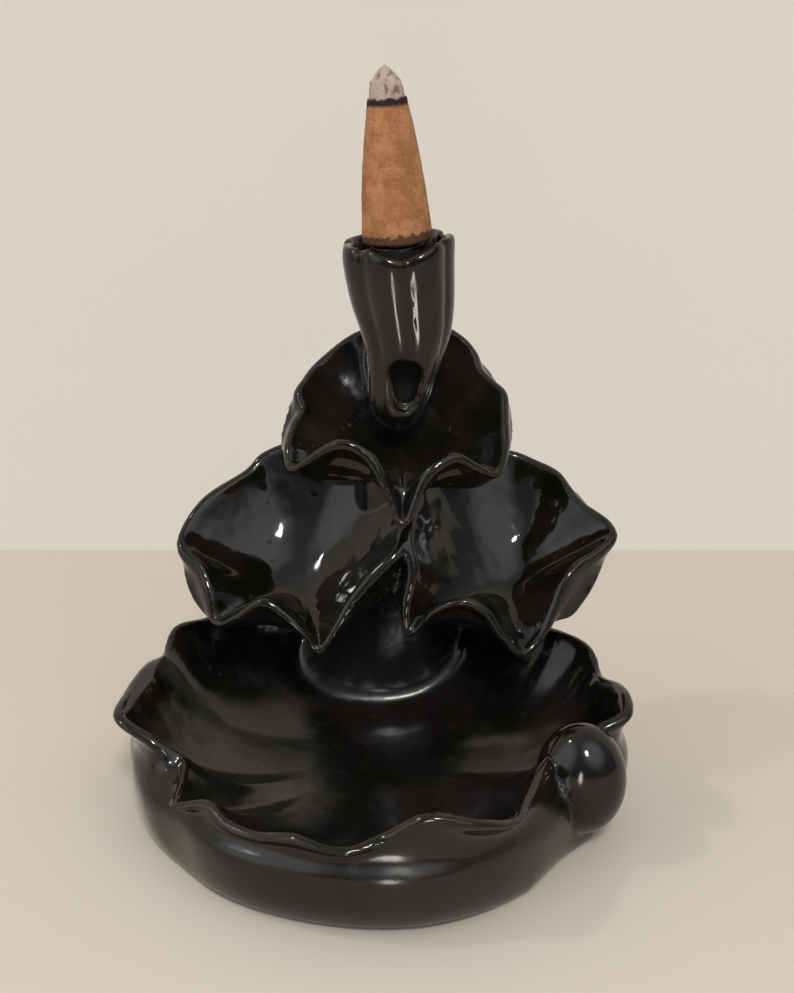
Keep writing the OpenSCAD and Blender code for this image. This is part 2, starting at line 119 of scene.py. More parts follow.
# Posts of the dish's rim: bearing round the foot in degrees, reach and height
DISH_RIM = [
    [0, 46.5, 25], [11, 44.6, 23], [19, 44.6, 26], [28, 41.5, 27], [42, 40, 26], [58, 38.5, 27],
    [75, 38, 25], [92, 38.5, 27], [110, 40, 26], [127, 43, 27], [141, 45, 26], [150, 47.4, 26],
    [157, 46.2, 23], [168, 46, 24.5], [182, 47, 24.5], [193, 48.6, 24], [199.5, 43.5, 21.5],
    [203.5, 38.8, 18], [211, 41, 16.3], [219, 45.2, 16.5], [227, 42.8, 18.2], [235, 43.8, 17],
    [243, 44.2, 17], [253, 45.6, 19], [264, 47, 18.4], [272, 45.4, 20], [281, 46.8, 24],
    [291, 48.5, 22.6], [301, 46.8, 20], [310, 42, 20], [321, 38.5, 20.5], [333, 37.5, 20.5],
    [340, 39.5, 21], [343.5, 44, 23], [347, 47.8, 24.5], [353, 47.6, 25.5]]


def lips(line, out, sink, wall):
    """The lines just inside and outside of a rim, where its rounding ends."""
    return (line - out * wall / 2 + sink * wall * INNER_DROP,
            line + out * wall / 2 + sink * wall * OUTER_DROP)


def fitted(posts, width, depth, height):
    """Posts stretched to a leaf's own width, depth and height."""
    posts = np.array(posts, float)
    return posts * (vec(width, depth, height) / np.ptp(posts, axis=0))


def between(a, b, c, d, t):
    """A point on the smooth line from b to c, with a and d as the neighbours."""
    return (2 * b + (c - a) * t + (2 * a - 5 * b + 4 * c - d) * t ** 2
            + (3 * b - a - 3 * c + d) * t ** 3) / 2


def smooth_line(posts, steps):
    """A closed smooth line through posts."""
    a, b, c, d = (np.roll(posts, k, axis=0) for k in (1, 0, -1, -2))
    parts = [between(a, b, c, d, k / steps) for k in range(steps)]
    return np.stack(parts, axis=1).reshape(-1, 3)


def ironed(line, reach):
    """The line with its waves ironed out: each point is the mean of its neighbourhood."""
    return sum(np.roll(line, k, axis=0) for k in range(-reach, reach + 1)) / (2 * reach + 1)


def outward(line, sink, at):
    """Directions that point out of the line, square to the way the bowl sinks."""
    along = np.roll(line, -1, axis=0) - np.roll(line, 1, axis=0)
    away = line - at
    flat = away - (away @ sink)[:, None] * sink
    return unit(unit(np.cross(along, -sink)) + unit(flat))


# %% [markdown]
# A bowl is then a pile of closed lines: rings inside it, the three that turn over the rim, and
# rings down its outside to the middle again. A second smooth line runs down through each
# column of that pile, so that the rim turns over in a soft roll, as a wet finger leaves it.

# %% From rows of points to a closed skin
COLUMN_STEPS = 14
ROW_STEPS = 5


def finer_rows(rows):
    """The pile of rings with smooth rings between them; the first and last stay single points."""
    n = max(len(row) for row in rows)
    pile = np.stack([np.broadcast_to(row, (n, 3)) for row in rows])
    pile = np.concatenate([pile[:1], pile, pile[-1:]])
    out = [between(*pile[k:k + 4], step / ROW_STEPS)
           for k in range(len(pile) - 3) for step in range(ROW_STEPS)]
    return [out[0][:1]] + out[1:] + [pile[-1][:1]]


def skin(name, rows):
    """A closed mesh over rows of points, with its faces turned outwards."""
    n = len(rows[1])
    around = np.arange(n)
    after = (around + 1) % n
    faces = [(0, 1 + j, 1 + i) for i, j in zip(around, after)]
    for k in range(len(rows) - 3):
        low, high = 1 + k * n, 1 + (k + 1) * n
        faces += [(low + i, low + j, high + j, high + i) for i, j in zip(around, after)]
    last = 1 + (len(rows) - 2) * n
    faces += [(last - n + i, last - n + j, last) for i, j in zip(around, after)]
    mesh = bpy.data.meshes.new(name)
    mesh.from_pydata((np.concatenate(rows) * MM).tolist(), [], faces)
    obj = added(name, mesh)
    face_out(obj)
    return obj


def face_out(obj):
    """Turns every face of a closed mesh outwards."""
    work = bmesh.new()
    work.from_mesh(obj.data)
    bmesh.ops.recalc_face_normals(work, faces=work.faces)
    work.to_mesh(obj.data)
    work.free()


# %% [markdown]
# The three leaves share one rule. Below the rim the outside follows a calmer line than the
# rim itself, because the clay's body doesn't take up the pinches of its edge. A leaf has a
# full belly behind, and in front it is thin and hollow, with the steps that a tool left there.

# %% The three leaves
# Drops are shares of the wall, or of its height for the belly. The bowl's rows lie at shares of
# the way out to the rim, the side's at shares of the way down to the belly, each with its sag, and
# the underside's at shares of the belly's width, each with its share of the way to the lowest
LEAF_WALL = 2.3
LEAF_BELLY = 3
LEAF_FLOOR = 4
LEAF_WALL_H = 9
INNER_DROP = 0.3
OUTER_DROP = 0.4
BELLY_DROP = 0.45
BOWL_SHARES = [0.28, 0.52, 0.72, 0.88]
BOWL_RISE = 2
SIDE_SHARES = [[0.2, 0.07], [0.38, 0.12], [0.56, 0.12], [0.75, 0.1], [0.88, 0.05]]
# Terraces that the modelling tool left in the hollow fronts: how far each row is pushed out
TERRACES = [-0.75, 0.45, -0.7, 0.4, -0.6]
UNDER_SHARES = [[0.88, 0.45], [0.55, 0.85]]
# How soon the rim's waves fade inside the bowl, and the thin, hollowed front of a leaf: its
# thickness, how far it draws in under the rim, and which way a rim must face to be its front
FADE = 1.3
THIN_WALL = 3.2
DRAW_IN = 2
FRONT_FROM, FRONT_TO = 0.4, 0.8
SIDE_X = 4.2
UPPER_AT = vec(SIDE_X, 15, 63.5)
LOWER_SPAN = 40.5
LEFT_AT = vec(SIDE_X + 0.5 - LOWER_SPAN / 2, 17, 38.5)
RIGHT_AT = LEFT_AT + vec(LOWER_SPAN, 0, 0)


def leaf(name, posts, at, sink):
    """A ruffled bowl: inner floor, rounded rim, belly and underside."""
    sink = unit(sink)
    rim = smooth_line(posts, COLUMN_STEPS) + at
    out = outward(rim, sink, at)
    calm = ironed(rim, round(len(rim) / 8))
    calm_out = outward(calm, sink, at)
    front = np.clip((-calm_out[:, 1] - FRONT_FROM) / (FRONT_TO - FRONT_FROM), 0, 1)[:, None]
    push = LEAF_WALL / 2 + LEAF_BELLY * (1 - front) - DRAW_IN * front
    belly = calm + calm_out * push + sink * LEAF_WALL_H * BELLY_DROP
    inner, edge = lips(rim, out, sink, LEAF_WALL)
    calm_inner = lips(calm, calm_out, sink, LEAF_WALL)[0]

    def split(line):
        """How deep a line lies along the sinking direction, and the rest of it."""
        depth = ((line - at) @ sink)[:, None]
        return depth, line - at - depth * sink

    def bowl(share):
        """A line of the bowl's inside, calmer the nearer it is to the middle of its floor."""
        wave = share ** FADE
        depth, flat = split(calm_inner * (1 - wave) + inner * wave)
        return at + flat * share + sink * depth * share ** BOWL_RISE

    side = [edge * (1 - s) + belly * s + sink * LEAF_WALL_H * sag + calm_out * front * push
            for (s, sag), push in zip(SIDE_SHARES, TERRACES)]
    depth, flat = split(belly)
    under = []
    for share, down in UNDER_SHARES:
        full = at + flat * share + sink * (depth * (1 - down) + LEAF_FLOOR * down)
        under.append(full * (1 - front) + (bowl(share) + sink * THIN_WALL) * front)
    rows = [at[None], *[bowl(share) for share in BOWL_SHARES], inner, rim, edge, *side, *under,
            (at + sink * LEAF_FLOOR)[None]]
    return skin(name, finer_rows(rows))


upper_leaf = leaf("upper_leaf", fitted(UPPER_RIM, 39.5, 30.5, 30), UPPER_AT, vec(0, 0.55, -0.84))
left_leaf = leaf("left_leaf", fitted(LEFT_RIM, 41.5, 27.5, 31.5), LEFT_AT, vec(0.18, 0.6, -0.78))
right_leaf = leaf("right_leaf", fitted(RIGHT_RIM, 39, 28, 31), RIGHT_AT, vec(-0.18, 0.6, -0.78))
print("leaf meshes:", [len(o.data.polygons) for o in (upper_leaf, left_leaf, right_leaf)])

# %% [markdown]
# The dish is thrown and then pinched: a flat floor that sweeps up late and steeply to the
# waves, over a calm round belly that turns in to the foot, which is ground flat.

# %% The dish
DISH_W = 91.9
DISH_D = 85.3
DISH_H = 27
DISH_WAVE = 11
DISH_AT = vec(0, 3, 7)
DISH_WALL = 2.4
BELLY = 2.2
BELLY_H = 12
FOOT_D = 82
FOOT_IN = 3
DISH_SHARES = [0.4, 0.64, 0.8, 0.91]
DISH_RISE = 4.5
# Rows of the wall: share of the way to the calm line, share of the height left, share of belly
WALL_SHARES = [[0.45, 0.74, 0.35], [0.8, 0.4, 0.75]]
BELLY_TURNS = [0, 28, 54, 78, 90]
FOOT_SHARES = [0.97, 0.75, 0.4]


def dish():
    """The ruffled dish, from the middle of its floor over the rim to its flat foot."""
    bearing, reach, height = np.array(DISH_RIM, float).T
    turn = np.radians(bearing)
    height = DISH_H - (height.max() - height) * DISH_WAVE / np.ptp(height)
    posts = np.stack([reach * np.cos(turn), reach * np.sin(turn), height], axis=1)
    posts[:, :2] *= vec(DISH_W, DISH_D) / np.ptp(posts[:, :2], axis=0)
    rim = smooth_line(posts, COLUMN_STEPS)
    down = vec(0, 0, -1)
    out = outward(rim, down, DISH_AT)
    calm = ironed(rim, round(len(rim) / 14))
    calm_out = outward(calm, down, DISH_AT)
    inner, edge = lips(rim, out, down, DISH_WALL)
    inside = [DISH_AT + (inner - DISH_AT) * vec(s, s, s ** DISH_RISE) for s in DISH_SHARES]

    wall = []
    for share, rise, push in WALL_SHARES:
        row = edge * (1 - share) + (calm + calm_out * BELLY * push) * share
        row[:, 2] = BELLY_H + (row[:, 2] - BELLY_H) * rise
        wall.append(row)
    belly = (calm + calm_out * (DISH_WALL / 2 + BELLY))[:, :2]
    reach = np.linalg.norm(belly, axis=1)[:, None]
    foot = belly / reach * np.minimum(FOOT_D / 2, reach - FOOT_IN)
    for turn in np.radians(BELLY_TURNS):
        flat = foot * (1 - math.cos(turn)) + belly * math.cos(turn)
        wall.append(np.column_stack([flat, np.full(len(flat), BELLY_H * (1 - math.sin(turn)))]))
    rows = finer_rows([DISH_AT[None], *inside, inner, rim, edge, *wall, wall[-1]])[:-1]

    for share in FOOT_SHARES:
        rows.append(np.column_stack([foot * share, np.zeros(len(foot))]))
    rows.append(vec(0, 0, 0)[None])
    return skin("dish", rows)


dish_body = dish()
print("dish mesh:", len(dish_body.data.polygons))

# %% [markdown]
# The stem is a thick roll of clay at the back. It rises from the dish, carries the two lower
# leaves, leans forward under the upper one and ends inside the cup. The ball on the dish's rim
# is an egg of clay pressed on at the front right.

# %% The stem and the ball
STEM_FOOT = vec(42, 14)
STEM_NECK = vec(17, 18)
STEM_Y = 30.5
CUP_TIP_AT = vec(SIDE_X + 0.2, 13.5, 70)
SEAT_AT = vec(SIDE_X - 0.1, 15, 104.9)
LOWER_Z = LEFT_AT[2]
# Each ring: middle sideways and backward, height, width and depth
ROOT_RINGS = [[SIDE_X * side, STEM_Y + back, LOWER_Z * up, *STEM_FOOT * vec(w, d)]
              for side, back, up, w, d in (
                  (0, -0.5, 0.13, 1, 1), (0, 0, 0.21, 1, 1.05), (0.1, 0.5, 0.32, 0.86, 0.9),
                  (0.3, 0.5, 0.52, 0.74, 0.9), (0.5, -0.5, 0.83, 0.6, 1.1),
                  (1, -4, 1.09, 0.5, 1.3))]
NECK_RINGS = [[SIDE_X, 15 + back, LOWER_Z + (SEAT_AT[2] - LOWER_Z) * up, *STEM_NECK * vec(w, d)]
              for back, up, w, d in (
                  (11, 0.17, 1.06, 0.8), (11, 0.38, 0.85, 0.75), (12.5, 0.53, 0.75, 0.6),
                  (11.5, 0.66, 0.7, 0.55), (7, 0.77, 0.62, 0.5), (0, 0.85, 0.45, 0.3))]
STEM_RINGS = ROOT_RINGS + NECK_RINGS
KNOB_TURN = math.radians(-25)
KNOB_REACH = 40.75
KNOB_SIZE = vec(16.4, 14.6, 21)
KNOB_AT = vec(KNOB_REACH * math.cos(KNOB_TURN), KNOB_REACH * math.sin(KNOB_TURN), 14.5)


def ellipse(x, y, z, width, depth, sides=72):
    """A level ring of points."""
    turn = np.linspace(0, 2 * math.pi, sides, endpoint=False)
    return np.stack([x + width / 2 * np.cos(turn), y + depth / 2 * np.sin(turn),
                     np.full(sides, z)], axis=1)


def stem():
    """The stem as one skin over its rings."""
    rings = [ellipse(*ring) for ring in STEM_RINGS]
    foot = vec(*STEM_RINGS[0][:3])[None]
    top = (vec(*STEM_RINGS[-1][:3]) + vec(0, 0, 0.01))[None]
    return skin("stem", finer_rows([foot, *rings, top]))


def knob():
    """The egg of clay on the dish's rim."""
    mesh = bpy.data.meshes.new("knob")
    work = bmesh.new()
    bmesh.ops.create_uvsphere(work, u_segments=64, v_segments=40, radius=0.5)
    size = Matrix.Diagonal((*(KNOB_SIZE * MM), 1))
    place = Matrix.Translation(KNOB_AT * MM) @ Matrix.Rotation(KNOB_TURN, 4, "Z")
    bmesh.ops.transform(work, matrix=place @ size, verts=work.verts)
    work.to_mesh(mesh)
    work.free()
    return added("knob", mesh)


stem_body, knob_body = stem(), knob()
print("stem and ball meshes:", [len(o.data.polygons) for o in (stem_body, knob_body)])

# %% [markdown]
# The cup follows a rule: seven petals stand around it, and each one tucks under its left
# neighbour. So Geometry Nodes make it. A profile, drawn once from the seat over the rim to the
# lower tip, is swept round by a grid, and the tree pulls each point in by how far it is tucked
# under, and lowers the rim where two petals part. Changing the number of petals changes the cup.

# %% The cup's profile, from the middle of the seat over the rim to the lower tip
PETALS = 7
PETAL_FOLD = 0.9
PETAL_BULGE = 0.6
FRONT_TURN = -84
FRONT_NOTCH = 2.2
NOTCH_TURN = 42
RIM_DIP = 0.6
DIP_SHARE = 0.2
CUP_R = 10.4
CUP_WALL = 1.6
SEAT_R = 4.8
MOAT_H = 3
RIM_RISE = 0.3
LEAN = 4.2
MOAT_R = CUP_R - CUP_WALL - PETAL_FOLD - PETAL_BULGE - 0.3
SEAT_Z = SEAT_AT[2]
RIM_Z = SEAT_Z + RIM_RISE
# Each post: radius, height, sideways and backward shift, then the shares that it takes of the
# petals' folds, of the rim's dips and of the seat's lean
CUP_PROFILE = [
    [0, SEAT_Z, 0, 0, 0, 0, 1], [SEAT_R - 0.5, SEAT_Z, 0, 0, 0, 0, 1],
    [SEAT_R + 0.1, SEAT_Z - 0.6, 0, 0, 0, 0, 1], [SEAT_R + 0.4, SEAT_Z - MOAT_H, 0, 0, 0, 0, 1],
    [MOAT_R, SEAT_Z - MOAT_H, 0, 0, 0, 0, 1],
    [CUP_R - CUP_WALL, RIM_Z - 0.2, 0, 0, 1, 1, 1],
    [CUP_R - CUP_WALL / 2, RIM_Z + CUP_WALL * 0.2, 0, 0, 1, 1, 1],
    [CUP_R, RIM_Z - CUP_WALL * 0.2, 0, 0, 1, 1, 1]]
# Rows down the outside: shifts to the side and back and the width as shares of the cup's radius,
# the height as a share of the way up from the tip to the seat, and the share of the folds
CUP_ROWS = [
    [0, 0, 0.89, 1, 1], [0.06, 0.02, 0.7, 0.94, 1], [0.12, -0.04, 0.54, 0.82, 0.9],
    [0.1, -0.06, 0.4, 0.69, 0.7], [0.05, -0.03, 0.29, 0.62, 0.5], [0, 0.02, 0.19, 0.56, 0.3],
    [-0.03, 0.03, 0.09, 0.44, 0.1], [-0.02, 0.02, 0.03, 0.27, 0]]
for side, back, height, width, fold in CUP_ROWS:
    at = CUP_TIP_AT + (SEAT_AT - CUP_TIP_AT) * height - SEAT_AT
    CUP_PROFILE.append([CUP_R * width, SEAT_Z + at[2], at[0] + CUP_R * side,
                        at[1] + CUP_R * back, fold, 0, 0])
CUP_PROFILE.append([0, CUP_TIP_AT[2], *(CUP_TIP_AT - SEAT_AT)[:2], 0, 0, 0])
CUP_AXIS = (CUP_TIP_AT + SEAT_AT)[:2] / 2


def profile_object(name, posts):
    """An open line of points that carries its shifts and shares as attributes."""
    posts = np.array(posts, float)
    mesh = bpy.data.meshes.new(name)
    line = np.column_stack([posts[:, 0], np.zeros(len(posts)), posts[:, 1]]) * MM
    mesh.from_pydata(line.tolist(), [(i, i + 1) for i in range(len(posts) - 1)], [])
    shift = mesh.attributes.new("shift", "FLOAT_VECTOR", "POINT")
    shift.data.foreach_set("vector", np.column_stack(
        [posts[:, 2:4], np.zeros(len(posts))]).ravel() * MM)
    for k, label in enumerate(("fold", "dip", "lean"), start=4):
        mesh.attributes.new(label, "FLOAT", "POINT").data.foreach_set("value", posts[:, k])
    return added(name, mesh)


# %% [markdown]
# A node tree is written here as one reads a sum. A small class adds a node, sets what it is given
# and hands back the output that the next node takes.

# %% A short hand for node trees
class Tree:
    """Adds and links nodes in a tree, so that a rule can be written as one reads it."""

    def __init__(self, tree):
        self.tree = tree

    def add(self, kind, out=0, values=None, **settings):
        """A node with its settings and inputs; gives back one of its outputs, or the node."""
        node = self.tree.nodes.new(kind)
        for key, value in settings.items():
            setattr(node, key, value)
        for key, value in (values or {}).items():
            self.set(node.inputs[key], value)
        return node if out is None else node.outputs[out]

    def set(self, socket, value):
        """Links an output to a socket, or writes a plain value into it."""
        if isinstance(value, bpy.types.NodeSocket):
            self.tree.links.new(value, socket)
        else:
            socket.default_value = value

    def math(self, operation, *values):
        """A Math node."""
        return self.add("ShaderNodeMath", operation=operation,
                        values={i: v for i, v in enumerate(values)})

    def vmath(self, operation, *values, out=0):
        """A Vector Math node."""
        return self.add("ShaderNodeVectorMath", out, operation=operation,
                        values={i: v for i, v in enumerate(values)})

    def give_out(self, **values):
        """Links values to the outputs of a group."""
        end = self.tree.nodes.new("NodeGroupOutput")
        for label, value in values.items():
            self.set(end.inputs[label], value)
        return self.tree


def new_group(kind, name, inputs, outputs):
    """A node group with named inputs and outputs: its short hand and its input sockets."""
    tree = bpy.data.node_groups.new(name, kind + "NodeTree")
    for label, (what, value) in inputs.items():
        socket = tree.interface.new_socket(label, in_out="INPUT", socket_type="NodeSocket" + what)
        if value is not None:
            socket.default_value = value
    for label, what in outputs.items():
        tree.interface.new_socket(label, in_out="OUTPUT", socket_type="NodeSocket" + what)
    return Tree(tree), tree.nodes.new("NodeGroupInput").outputs


def keep_result(obj):
    """Replaces an object's mesh with what its modifiers make of it."""
    depsgraph = bpy.context.evaluated_depsgraph_get()
    mesh = bpy.data.meshes.new_from_object(obj.evaluated_get(depsgraph))
    obj.modifiers.clear()
    old, obj.data = obj.data, mesh
    bpy.data.meshes.remove(old)


def run_tree(obj, tree, values):
    """Runs a tree on an object with the given inputs and keeps the result as a plain mesh."""
    modifier = obj.modifiers.new(tree.name, "NODES")
    modifier.node_group = tree
    for item in tree.interface.items_tree:
        if item.in_out == "INPUT" and item.name in values:
            modifier[item.identifier] = values[item.name]
    keep_result(obj)
    return obj


# %% [markdown]
# The tree lays a grid round the profile. Across one petal a share runs from 0 to 1: its start lies
# on top of the neighbour before, after a short rounded lip, and its end is tucked under the next.

# %% The tree that grows the cup from its profile
def cup_tree():
    """Sweeps the profile round, tucks each petal under the next and notches the rim."""
    t, start = new_group("Geometry", "petal_cup", {
        "Geometry": ("Geometry", None), "Petals": ("Int", PETALS),
        "Columns": ("Int", 281), "Rows": ("Int", 150),
        "Fold": ("Float", PETAL_FOLD * MM), "Lip": ("Float", 0.07),
        "Bulge": ("Float", PETAL_BULGE * MM),
        "First Fold": ("Float", math.radians(FRONT_TURN)),
        "Notch": ("Float", FRONT_NOTCH * MM), "Notch Turn": ("Float", math.radians(NOTCH_TURN)),
        "Dip": ("Float", RIM_DIP * MM), "Dip Share": ("Float", DIP_SHARE),
        "Lean": ("Float", math.tan(math.radians(LEAN))), "Middle": ("Vector", None),
        "Material": ("Material", None)}, {"Geometry": "Geometry"})
    to_curve = t.add("GeometryNodeMeshToCurve", values={"Mesh": start["Geometry"]})
    curve = t.add("GeometryNodeCurveSplineType", spline_type="CATMULL_ROM",
                  values={"Curve": to_curve})
    curve = t.add("GeometryNodeSetSplineResolution", values={"Geometry": curve, "Resolution": 16})

    grid = t.add("GeometryNodeMeshGrid", None, {
        "Size X": 1.0, "Size Y": 1.0, "Vertices X": start["Columns"], "Vertices Y": start["Rows"]})
    place = t.add("ShaderNodeSeparateXYZ", None, {0: t.add("GeometryNodeInputPosition")})
    around = t.math("ADD", place.outputs["X"], 0.5)
    along = t.math("ADD", place.outputs["Y"], 0.5)

    def sampled(kind, value):
        """The profile's value at the grid's place along it."""
        node = t.add("GeometryNodeSampleCurve", None, {"Curves": curve, "Factor": along},
                     data_type=kind, mode="FACTOR", use_all_curves=True)
        if value:
            named = t.add("GeometryNodeInputNamedAttribute", data_type=kind,
                          values={"Name": value})
            t.set(node.inputs["Value"], named)
        return node

    line = sampled("FLOAT_VECTOR", "shift")
    at = t.add("ShaderNodeSeparateXYZ", None, {0: line.outputs["Position"]})
    fold, dip, lean = (sampled("FLOAT", name).outputs["Value"] for name in ("fold", "dip", "lean"))

    angle = t.math("MULTIPLY_ADD", around, 2 * math.pi, start["First Fold"])
    petal = t.math("FRACT", t.math("MULTIPLY", around, start["Petals"]))
    lip = t.add("ShaderNodeMapRange", interpolation_type="SMOOTHSTEP",
                values={"Value": petal, "From Max": start["Lip"]})
    tucked = t.math("MULTIPLY", t.math("POWER", t.math("SUBTRACT", 1, petal), 2), lip)
    apart = t.math("MULTIPLY", t.math("MULTIPLY", petal, t.math("SUBTRACT", 1, petal)), 4)
    flat = t.math("MULTIPLY", t.math("SUBTRACT", 1, apart), start["Bulge"])
    pull = t.math("MULTIPLY", t.math("MULTIPLY_ADD", tucked, start["Fold"], flat), fold)
    radius = t.math("MAXIMUM", t.math("SUBTRACT", at.outputs["X"], pull), 0)

    from_front = t.math("MULTIPLY", t.math("MINIMUM", around, t.math("SUBTRACT", 1, around)),
                        2 * math.pi)
    front = t.math("SUBTRACT", 1, t.math("DIVIDE", from_front, start["Notch Turn"]))
    notch = t.math("MULTIPLY", t.math("MAXIMUM", front, 0), start["Notch"])
    edge = t.math("MINIMUM", petal, t.math("SUBTRACT", 1, petal))
    parting = t.math("SUBTRACT", 1, t.math("DIVIDE", edge, start["Dip Share"]))
    small = t.math("MULTIPLY", t.math("MAXIMUM", parting, 0), start["Dip"])
    lowered = t.math("MULTIPLY", t.math("MAXIMUM", notch, small), dip)

    x = t.math("MULTIPLY", radius, t.math("COSINE", angle))
    y = t.math("MULTIPLY", radius, t.math("SINE", angle))
    tilt = t.math("MULTIPLY", t.math("MULTIPLY", x, start["Lean"]), lean)
    z = t.math("SUBTRACT", t.math("ADD", at.outputs["Z"], tilt), lowered)
    spot = t.add("ShaderNodeCombineXYZ", values={"X": x, "Y": y, "Z": z})
    spot = t.vmath("ADD", t.vmath("ADD", spot, line.outputs["Value"]), start["Middle"])
    moved = t.add("GeometryNodeSetPosition", values={"Geometry": grid.outputs["Mesh"],
                                                     "Position": spot})
    closed = t.add("GeometryNodeMergeByDistance", values={"Geometry": moved, "Distance": 1e-6})
    whole = t.add("GeometryNodeRealizeInstances", values={"Geometry": closed})
    dressed = t.add("GeometryNodeSetMaterial", values={"Geometry": whole,
                                                       "Material": start["Material"]})
    return t.give_out(Geometry=dressed)


cup_body = run_tree(profile_object("cup", CUP_PROFILE), cup_tree(),
                    {"Middle": tuple(vec(*SEAT_AT[:2], 0) * MM)})
face_out(cup_body)
corners = sum(len(f.vertices) for f in cup_body.data.polygons)
print("cup mesh:", len(cup_body.data.polygons),
      "open edges:", 2 * len(cup_body.data.edges) - corners)

# %% [markdown]
# A backflow burner has a passage from the hole in its seat to an arched mouth in the cup's front,
# with a shallow frame pressed round the mouth. All three are cut from the clay when its pieces
# have been joined. A convex hull round two shapes is a quick way to make such a tool.

# %% The passage and the mouth, as tools that cut
PASSAGE_D = 5
MOUTH_W = 7.4
MOUTH_H = 10.6
MOUTH_SLOPE = 14
MOUTH_FOOT = 0.6
HOLE_W = 5.4
HOLE_H = 8.6
FRAME_SLOPE = 20
MOUTH_AT = vec(CUP_TIP_AT[0] + 1.2, SEAT_AT[1] - PASSAGE_D / 5, CUP_TIP_AT[2] + 6.6)
ARCH_LIFT = 0.6
# The shallow frame round the hole follows the slope of the cup's front
FRAME_AT = vec(MOUTH_AT[0], 10.4, MOUTH_AT[2] - 1.6)


def ball_points(at, diameter, sides=32):
    """Points all over a ball."""
    turn, rise = np.meshgrid(np.linspace(0, 2 * math.pi, sides, endpoint=False),
                             np.linspace(-math.pi / 2, math.pi / 2, sides // 2))
    way = np.stack([np.cos(rise) * np.cos(turn), np.cos(rise) * np.sin(turn), np.sin(rise)], -1)
    return at + way.reshape(-1, 3) * diameter / 2


def hull(name, points):
    """The convex hull round a cloud of points, as a closed mesh."""
    mesh = bpy.data.meshes.new(name)
    work = bmesh.new()
    for point in points:
        work.verts.new(point * MM)
    made = bmesh.ops.convex_hull(work, input=work.verts)
    inside = {v for v in made["geom_interior"] + made["geom_unused"]
              if isinstance(v, bmesh.types.BMVert)}
    bmesh.ops.delete(work, geom=list(inside), context="VERTS")
    work.to_mesh(mesh)
    work.free()
    obj = added(name, mesh)
    face_out(obj)
    return obj


def arch_points(at, width, height, slope):
    """An arched outline, pushed forward and down along its slope."""
    turn = np.linspace(0, 2 * math.pi, 48, endpoint=False)
    circle = np.stack([np.cos(turn), np.sin(turn)], 1)
    foot_r = width * MOUTH_FOOT / 2
    flat = np.concatenate([circle * width / 2 + vec(0, height - width / 2),
                           circle * foot_r + vec(0, foot_r)])
    tilt = math.radians(90 + slope)
    points = [vec(x, y * math.cos(tilt) - far * math.sin(tilt),
                  y * math.sin(tilt) + far * math.cos(tilt))
              for far in (0, SEAT_AT[1]) for x, y in flat]
    return at + np.array(points)


shaft = hull("shaft", np.concatenate([
    ellipse(*(SEAT_AT + vec(0, 0, 1)), PASSAGE_D, PASSAGE_D, 48),
    ball_points(MOUTH_AT + vec(0, -PASSAGE_D / 2, MOUTH_H / 2), PASSAGE_D)]))
arch = hull("arch", arch_points(MOUTH_AT + vec(0, 0, ARCH_LIFT), HOLE_W, HOLE_H, MOUTH_SLOPE))
frame_cut = hull("frame", arch_points(FRAME_AT, MOUTH_W, MOUTH_H, FRAME_SLOPE))
print("tool meshes:", [len(o.data.polygons) for o in (shaft, arch, frame_cut)])

# %% [markdown]
# Wet clay joins without a seam. The pieces are united exactly, the holes are cut, and the result
# is meshed again in small even cells and smoothed, which leaves the soft fillets that slip and
# glaze leave in every corner. The leaves' undersides, the mouth and any cell that stands out like
# a tooth are evened first, the stem's root is blended widely into the dish, and the cup is
# smoothed half as much, to keep its petals.

# %% One body of clay
CELL = 0.42
SMOOTH_ROUNDS = 7
ROOT_ROUNDS = 80
UNDER_ROUNDS = 12
TRIANGLES = 188000
# How far a vertex moves toward its neighbours' mean, and how far it is then pushed back
PULL, PUSH_BACK = 0.6, -0.5
CUP_SHARE = 0.5
TOOTH = 0.1
# Zones of the clay: the stem's root, the leaves and their undersides, the mouth, the cup
ROOT_Z, ROOT_FROM_Y, ROOT_REACH = (5, 20), 12, 30
LEAF_Z, LEAF_FROM_Y, LEAF_FROM_CUP = (24, 88), 3, 10
UNDER_UP = 0.15
MOUTH_MIDDLE, MOUTH_HALF, MOUTH_TO_Y = MOUTH_AT + vec(0, 0, 2), vec(5.5, 9, 8), 9
CUP_FROM_Z, CUP_TO = CUP_TIP_AT[2] + 3, 13
GROUND = 0.12


def combine(target, tool, operation):
    """Unites two closed meshes, or cuts one from the other."""
    modifier = target.modifiers.new(operation, "BOOLEAN")
    modifier.operation = operation
    modifier.solver = "MANIFOLD"
    modifier.object = tool
    keep_result(target)
    bpy.data.objects.remove(tool)


def points_of(mesh, kind="co"):
    """All vertex positions or normals of a mesh as an array."""
    flat = np.empty(len(mesh.vertices) * 3)
    mesh.vertices.foreach_get(kind, flat)
    return flat.reshape(-1, 3)


def edges_of(mesh):
    """The two vertices of every edge."""
    flat = np.empty(len(mesh.edges) * 2, int)
    mesh.edges.foreach_get("vertices", flat)
    return flat.reshape(-1, 2)


def mean_of_neighbours(values, edges):
    """For each vertex, the mean of a value over the vertices that it shares an edge with."""
    count = np.bincount(edges.ravel(), minlength=len(values))
    columns = [np.bincount(edges[:, 0], column[edges[:, 1]], len(values))
               + np.bincount(edges[:, 1], column[edges[:, 0]], len(values))
               for column in values.reshape(len(values), -1).T]
    return (np.stack(columns, -1) / count[:, None]).reshape(values.shape)


def from_cup(points):
    """How far points lie from the cup's upright middle line, in millimetres."""
    return np.linalg.norm(points[:, :2] / MM - CUP_AXIS, axis=1)


def within(values, limits):
    """Where values lie between two limits."""
    return (values > limits[0]) & (values < limits[1])


